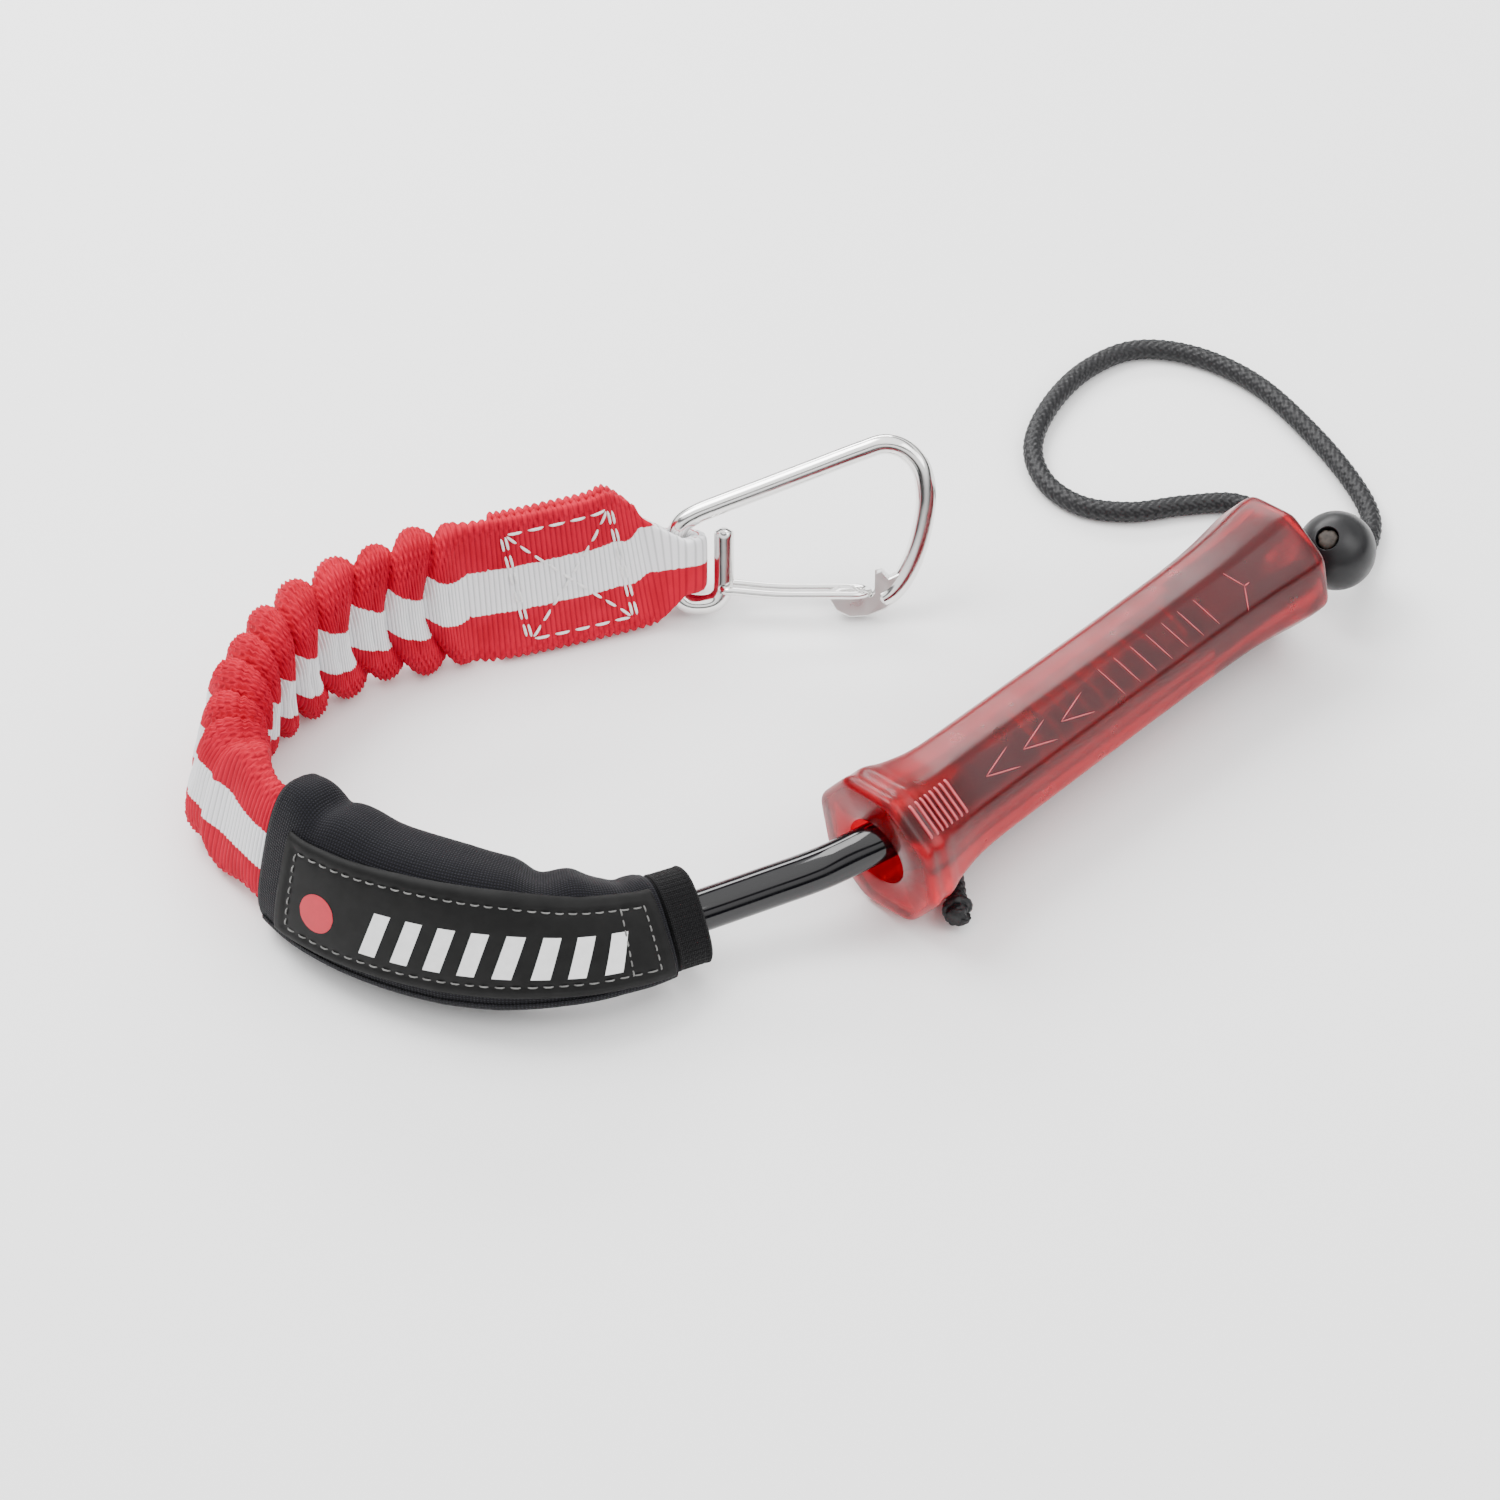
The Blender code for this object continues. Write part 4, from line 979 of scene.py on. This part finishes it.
def printed(wrap, name, rows, finish):
    """A print as thin as paint over rows of (t, across) points of the label."""
    rings = [[wrap.label(t, across, PRINT_UNDER) for t, across in row]
             + [wrap.label(t, across, PRINT_OVER) for t, across in row[::-1]] for row in rows]
    solid(name, rings, finish, body="tether", sharp=50)


def build_marks(wrap, finish):
    """Plain marks in the places of the printed ones: a disc and a row of slanted bars."""
    middle, rows = -0.16, []
    for k in range(25):
        x = k / 24
        arc = 0.36 * math.sqrt(max(0.003, 1 - (2 * x - 1) ** 2))
        a, b = middle - arc, middle + arc
        rows.append([(0.155 + (0.245 - 0.155) * x, a + (b - a) * c / 8) for c in range(9)])
    printed(wrap, "label_mark_disc", rows, finish["label_print_red"])
    width, slant = 0.038, 0.028
    low, high = middle - 0.42, middle + 0.42
    for bar in range(8):
        start = 0.315 + 0.074 * bar
        rows = [[(start + slant * k / 12 + width * c / 4, low + (high - low) * k / 12) for c in range(5)]
                for k in range(13)]
        printed(wrap, f"label_mark_bar_{bar + 1}", rows, finish["label_print_white"])


def build_cuff(wrap, finish):
    """Ribbed elastic with rolled edges, its bore round for the tube."""
    line = spline([wrap.line[-1] + wrap.along[-1] * 0.6, CUFF_END], count=40)
    up, out = leaning(wrap.along[-1], WRAP_LEAN[-1])
    sides = 240
    outer, inner = [], []
    for k, centre in enumerate(line):
        t = k / (len(line) - 1)
        x, y = evenly(11.6, 6.9, 2.6, sides)
        edge = min(t, 1 - t)
        swell = 0.35 * float(bump_at(edge, 0.09, 0.05)) - 0.55 * (1 - float(blend(edge, 0, 0.045)))
        ribs = 0.24 * np.abs(np.sin(np.pi * np.arange(sides) / 5 + 0.5 * math.sin(t * 40)))
        grow = 1 + (swell + ribs * float(blend(edge, 0.1, 0.16))) / np.hypot(x, y)
        outer.append(centre + np.outer(y * grow, up) + np.outer(x * grow, out))
        x, y = evenly(5.9, 5.6, 2.0, sides)
        inner.append(centre + np.outer(y, up) + np.outer(x, out))
    solid("elastic_cuff_ribbed", outer + inner[::-1], finish["elastic"], closed=True, body="tether",
          us=np.arange(sides + 1)[None] * 0.25, vs=np.arange(80)[:, None] * 0.25, replaces=["elastic_cuff"])


# ---- line, tube and release grip

GRIP_NEAR = np.array((29.0, -51.0, 19.8))
GRIP_FAR = np.array((129.2, 43.6, 22.9))
GRIP_LENGTH = float(np.linalg.norm(GRIP_FAR - GRIP_NEAR))
AXIS = (GRIP_FAR - GRIP_NEAR) / GRIP_LENGTH
FRONT = np.array((0.35, -0.433, 0.83))
FRONT = unit(FRONT - AXIS * np.dot(FRONT, AXIS))
SIDE = np.cross(AXIS, FRONT)
GRIP_BORE, SOCKET_BORE, SOCKET_START = 8.5, 11.9, 101.0
SPRING_FROM, SPRING_TO, SPRING_TURNS, SPRING_RADIUS = 48.7, 88.7, 8, 6.6
GRIP_PROFILE = [
    (0.0, 16.8), (0.5, 17.7), (1.4, 18.3), (2.6, 18.35), (4.0, 18.0), (5.2, 17.9), (6.8, 18.0), (8.6, 17.5),
    (11.0, 16.6), (15.0, 15.6), (20.0, 14.7), (28.0, 14.2), (45.0, 14.0), (80.0, 13.8), (104.0, 13.9),
    (114.0, 14.2), (121.0, 14.7), (127.5, 15.5), (132.5, 16.15), (135.6, 16.2), (136.8, 15.9), (137.5, 15.3),
    (GRIP_LENGTH, 14.6),
]
TUBE_LINE = [
    (-62.0, -74.9, 18.4), (-51.0, -76.6, 17.6), (-38.5, -75.6, 16.6), (-28.0, -72.4, 15.6), (-21.4, -69.0, 14.9),
    (-12.7, -64.4, 14.0), (3.0, -58.2, 15.2), (17.0, -53.2, 17.2),
]


def grip_point(s, front=0.0, side=0.0):
    return GRIP_NEAR + AXIS * s + FRONT * front + SIDE * side


def build_line(finish):
    """The tube, the line in it and the return spring, each baked in place: nothing here pushes them together as the
    grip slides.
    """
    tube = [np.array(p) for p in TUBE_LINE]
    tube += [grip_point(1.5, 0.9, -1.9), grip_point(10.0, 0.2, -0.7), grip_point(20.0), grip_point(30.0)]
    line = spline(tube, 1.0)
    rings = np.concatenate([tube_rings(line, 5.0, 48), tube_rings(line, 2.6, 48)[::-1]])
    hose = solid("pu_tube_smooth", rings, finish["tube"], closed=True, sharp=50, replaces=["pu_tube"])
    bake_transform(hose)
    inside = [(-70.9, -72.4, 19.2), (-66.5, -73.7, 18.8)] + tube[:-1] + [grip_point(33.5)]
    core = spline(inside, 1.0)
    load = solid("load_line_braid", tube_rings(core, 2.2, 16), finish["line_grey"], replaces=["load_line"])
    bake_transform(load)

    coil = []
    for k in range(SPRING_TURNS * 16 + 1):
        a = 2 * math.pi * k / 16
        s = SPRING_FROM + (SPRING_TO - SPRING_FROM) * k / (SPRING_TURNS * 16)
        coil.append(grip_point(s, SPRING_RADIUS * math.cos(a), SPRING_RADIUS * math.sin(a)))
    spring = solid("return_spring_wire", tube_rings(spline(coil, 0.9), 0.6, 10, AXIS), finish["pin_steel"],
                   replaces=["return_spring"])
    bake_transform(spring)


def build_grip(finish):
    """An eight-sided shell with two flares, bored for the tube and the ball, and its raised marks."""
    sides = 144
    angles = round_angles(sides)
    facets = sum(np.clip(np.cos(angles - j * math.pi / 4), 0, None) ** 30 for j in range(8)) ** (-1 / 30)
    spans = ((0, 12, 49), (12.5, 126, 150), (126.5, GRIP_LENGTH, 40))
    stations = np.concatenate([np.linspace(*span) for span in spans])
    profile = spline([(s, r, 0) for s, r in GRIP_PROFILE], count=900)

    def radius(s):
        return float(np.interp(s, profile[:, 0], profile[:, 1]))

    def ring(s, r):
        return grip_point(s) + np.outer(np.cos(angles) * r, FRONT) + np.outer(np.sin(angles) * r, SIDE)

    def top(s, side, lift):
        return grip_point(s, radius(s) + lift, side)

    bore = [
        (GRIP_LENGTH, SOCKET_BORE + 0.9), (GRIP_LENGTH - 0.5, SOCKET_BORE + 0.2), (GRIP_LENGTH - 1.2, SOCKET_BORE),
        (120.0, SOCKET_BORE), (SOCKET_START, SOCKET_BORE), (SOCKET_START, GRIP_BORE), (60.0, GRIP_BORE),
        (1.4, GRIP_BORE), (0.5, GRIP_BORE + 0.25), (0.0, GRIP_BORE + 1.0),
    ]
    rings = [ring(s, radius(s) * facets) for s in stations] + [ring(s, r) for s, r in bore]
    shell = solid("release_grip_shell", rings, finish["grip"], closed=True, sharp=40, body="grip",
                  replaces=["release_grip"])
    shell.data.materials.append(finish["grip_bore"])
    for face in shell.data.polygons[len(stations) * sides:]:
        face.material_index = 1

    half = 4.7
    section = ((-0.42, -0.3), (-0.40, 0.25), (-0.25, 0.52), (0.0, 0.62), (0.25, 0.52), (0.40, 0.25), (0.42, -0.3))
    for k in range(8):
        rings = []
        for side in np.linspace(-half, half, 13):
            end = min(1.0, (half - abs(side)) / 0.5 + 0.35)
            rings.append([top(4.9 + 1.85 * k + a, side, (b + 0.3) * end - 0.3) for a, b in section])
        solid(f"grip_rib_{k + 1}", rings, finish["grip_mark_pale"], body="grip")

    # Arrow heads, plain strokes in the place of a word, and a branching mark.
    lines = []
    for vertex in (27.8, 40.1, 52.7):
        lines += [[(vertex, 0.6), (vertex + 9.0, -2.2)], [(vertex, 0.6), (vertex + 9.0, 3.4)]]
    lines += [[(69.0 + 5.4 * k, -4.2), (71.2 + 5.4 * k, 4.2)] for k in range(7)]
    lines += [[(112.4, -5.0), (115.2, 0.4)], [(115.2, 0.4), (112.2, 5.8)], [(115.2, 0.4), (116.8, 0.4)]]
    lifts = [(share, 0.02) for share in np.linspace(0, 1, 6)]
    runs = [stitch(top, start, end, lifts) for start, end in lines]
    capsules("grip_marks", runs, 0.17, finish["grip_mark_pale"], "grip")


# ---- the whole leash

CAD_FINISHES = {
    "core_dark": ("core_spindle", "tube_ferrule"),
    "bush": ("socket_head", "guide_bush"),
    "pin_steel": ("head_pin", "spring_seat", "stop_ring"),
    "crimp_aluminium": ("line_crimp",),
}

camera()
finish = finishes()
cord, path, cord_length = build_cord(finish)
build_ball(finish)
build_hook(finish)
strap, webbing, cloth_length = build_webbing(finish)
build_box_stitching(strap, finish)
build_bungee(strap, finish)
wrap = build_wrap(finish)
label = build_label(wrap, finish)
build_cuff(wrap, finish)
build_line(finish)
build_grip(finish)
for which, nodes in CAD_FINISHES.items():
    for node in nodes:
        slots = bpy.data.objects[node].data.materials
        slots.clear()
        slots.append(finish[which])
studio()
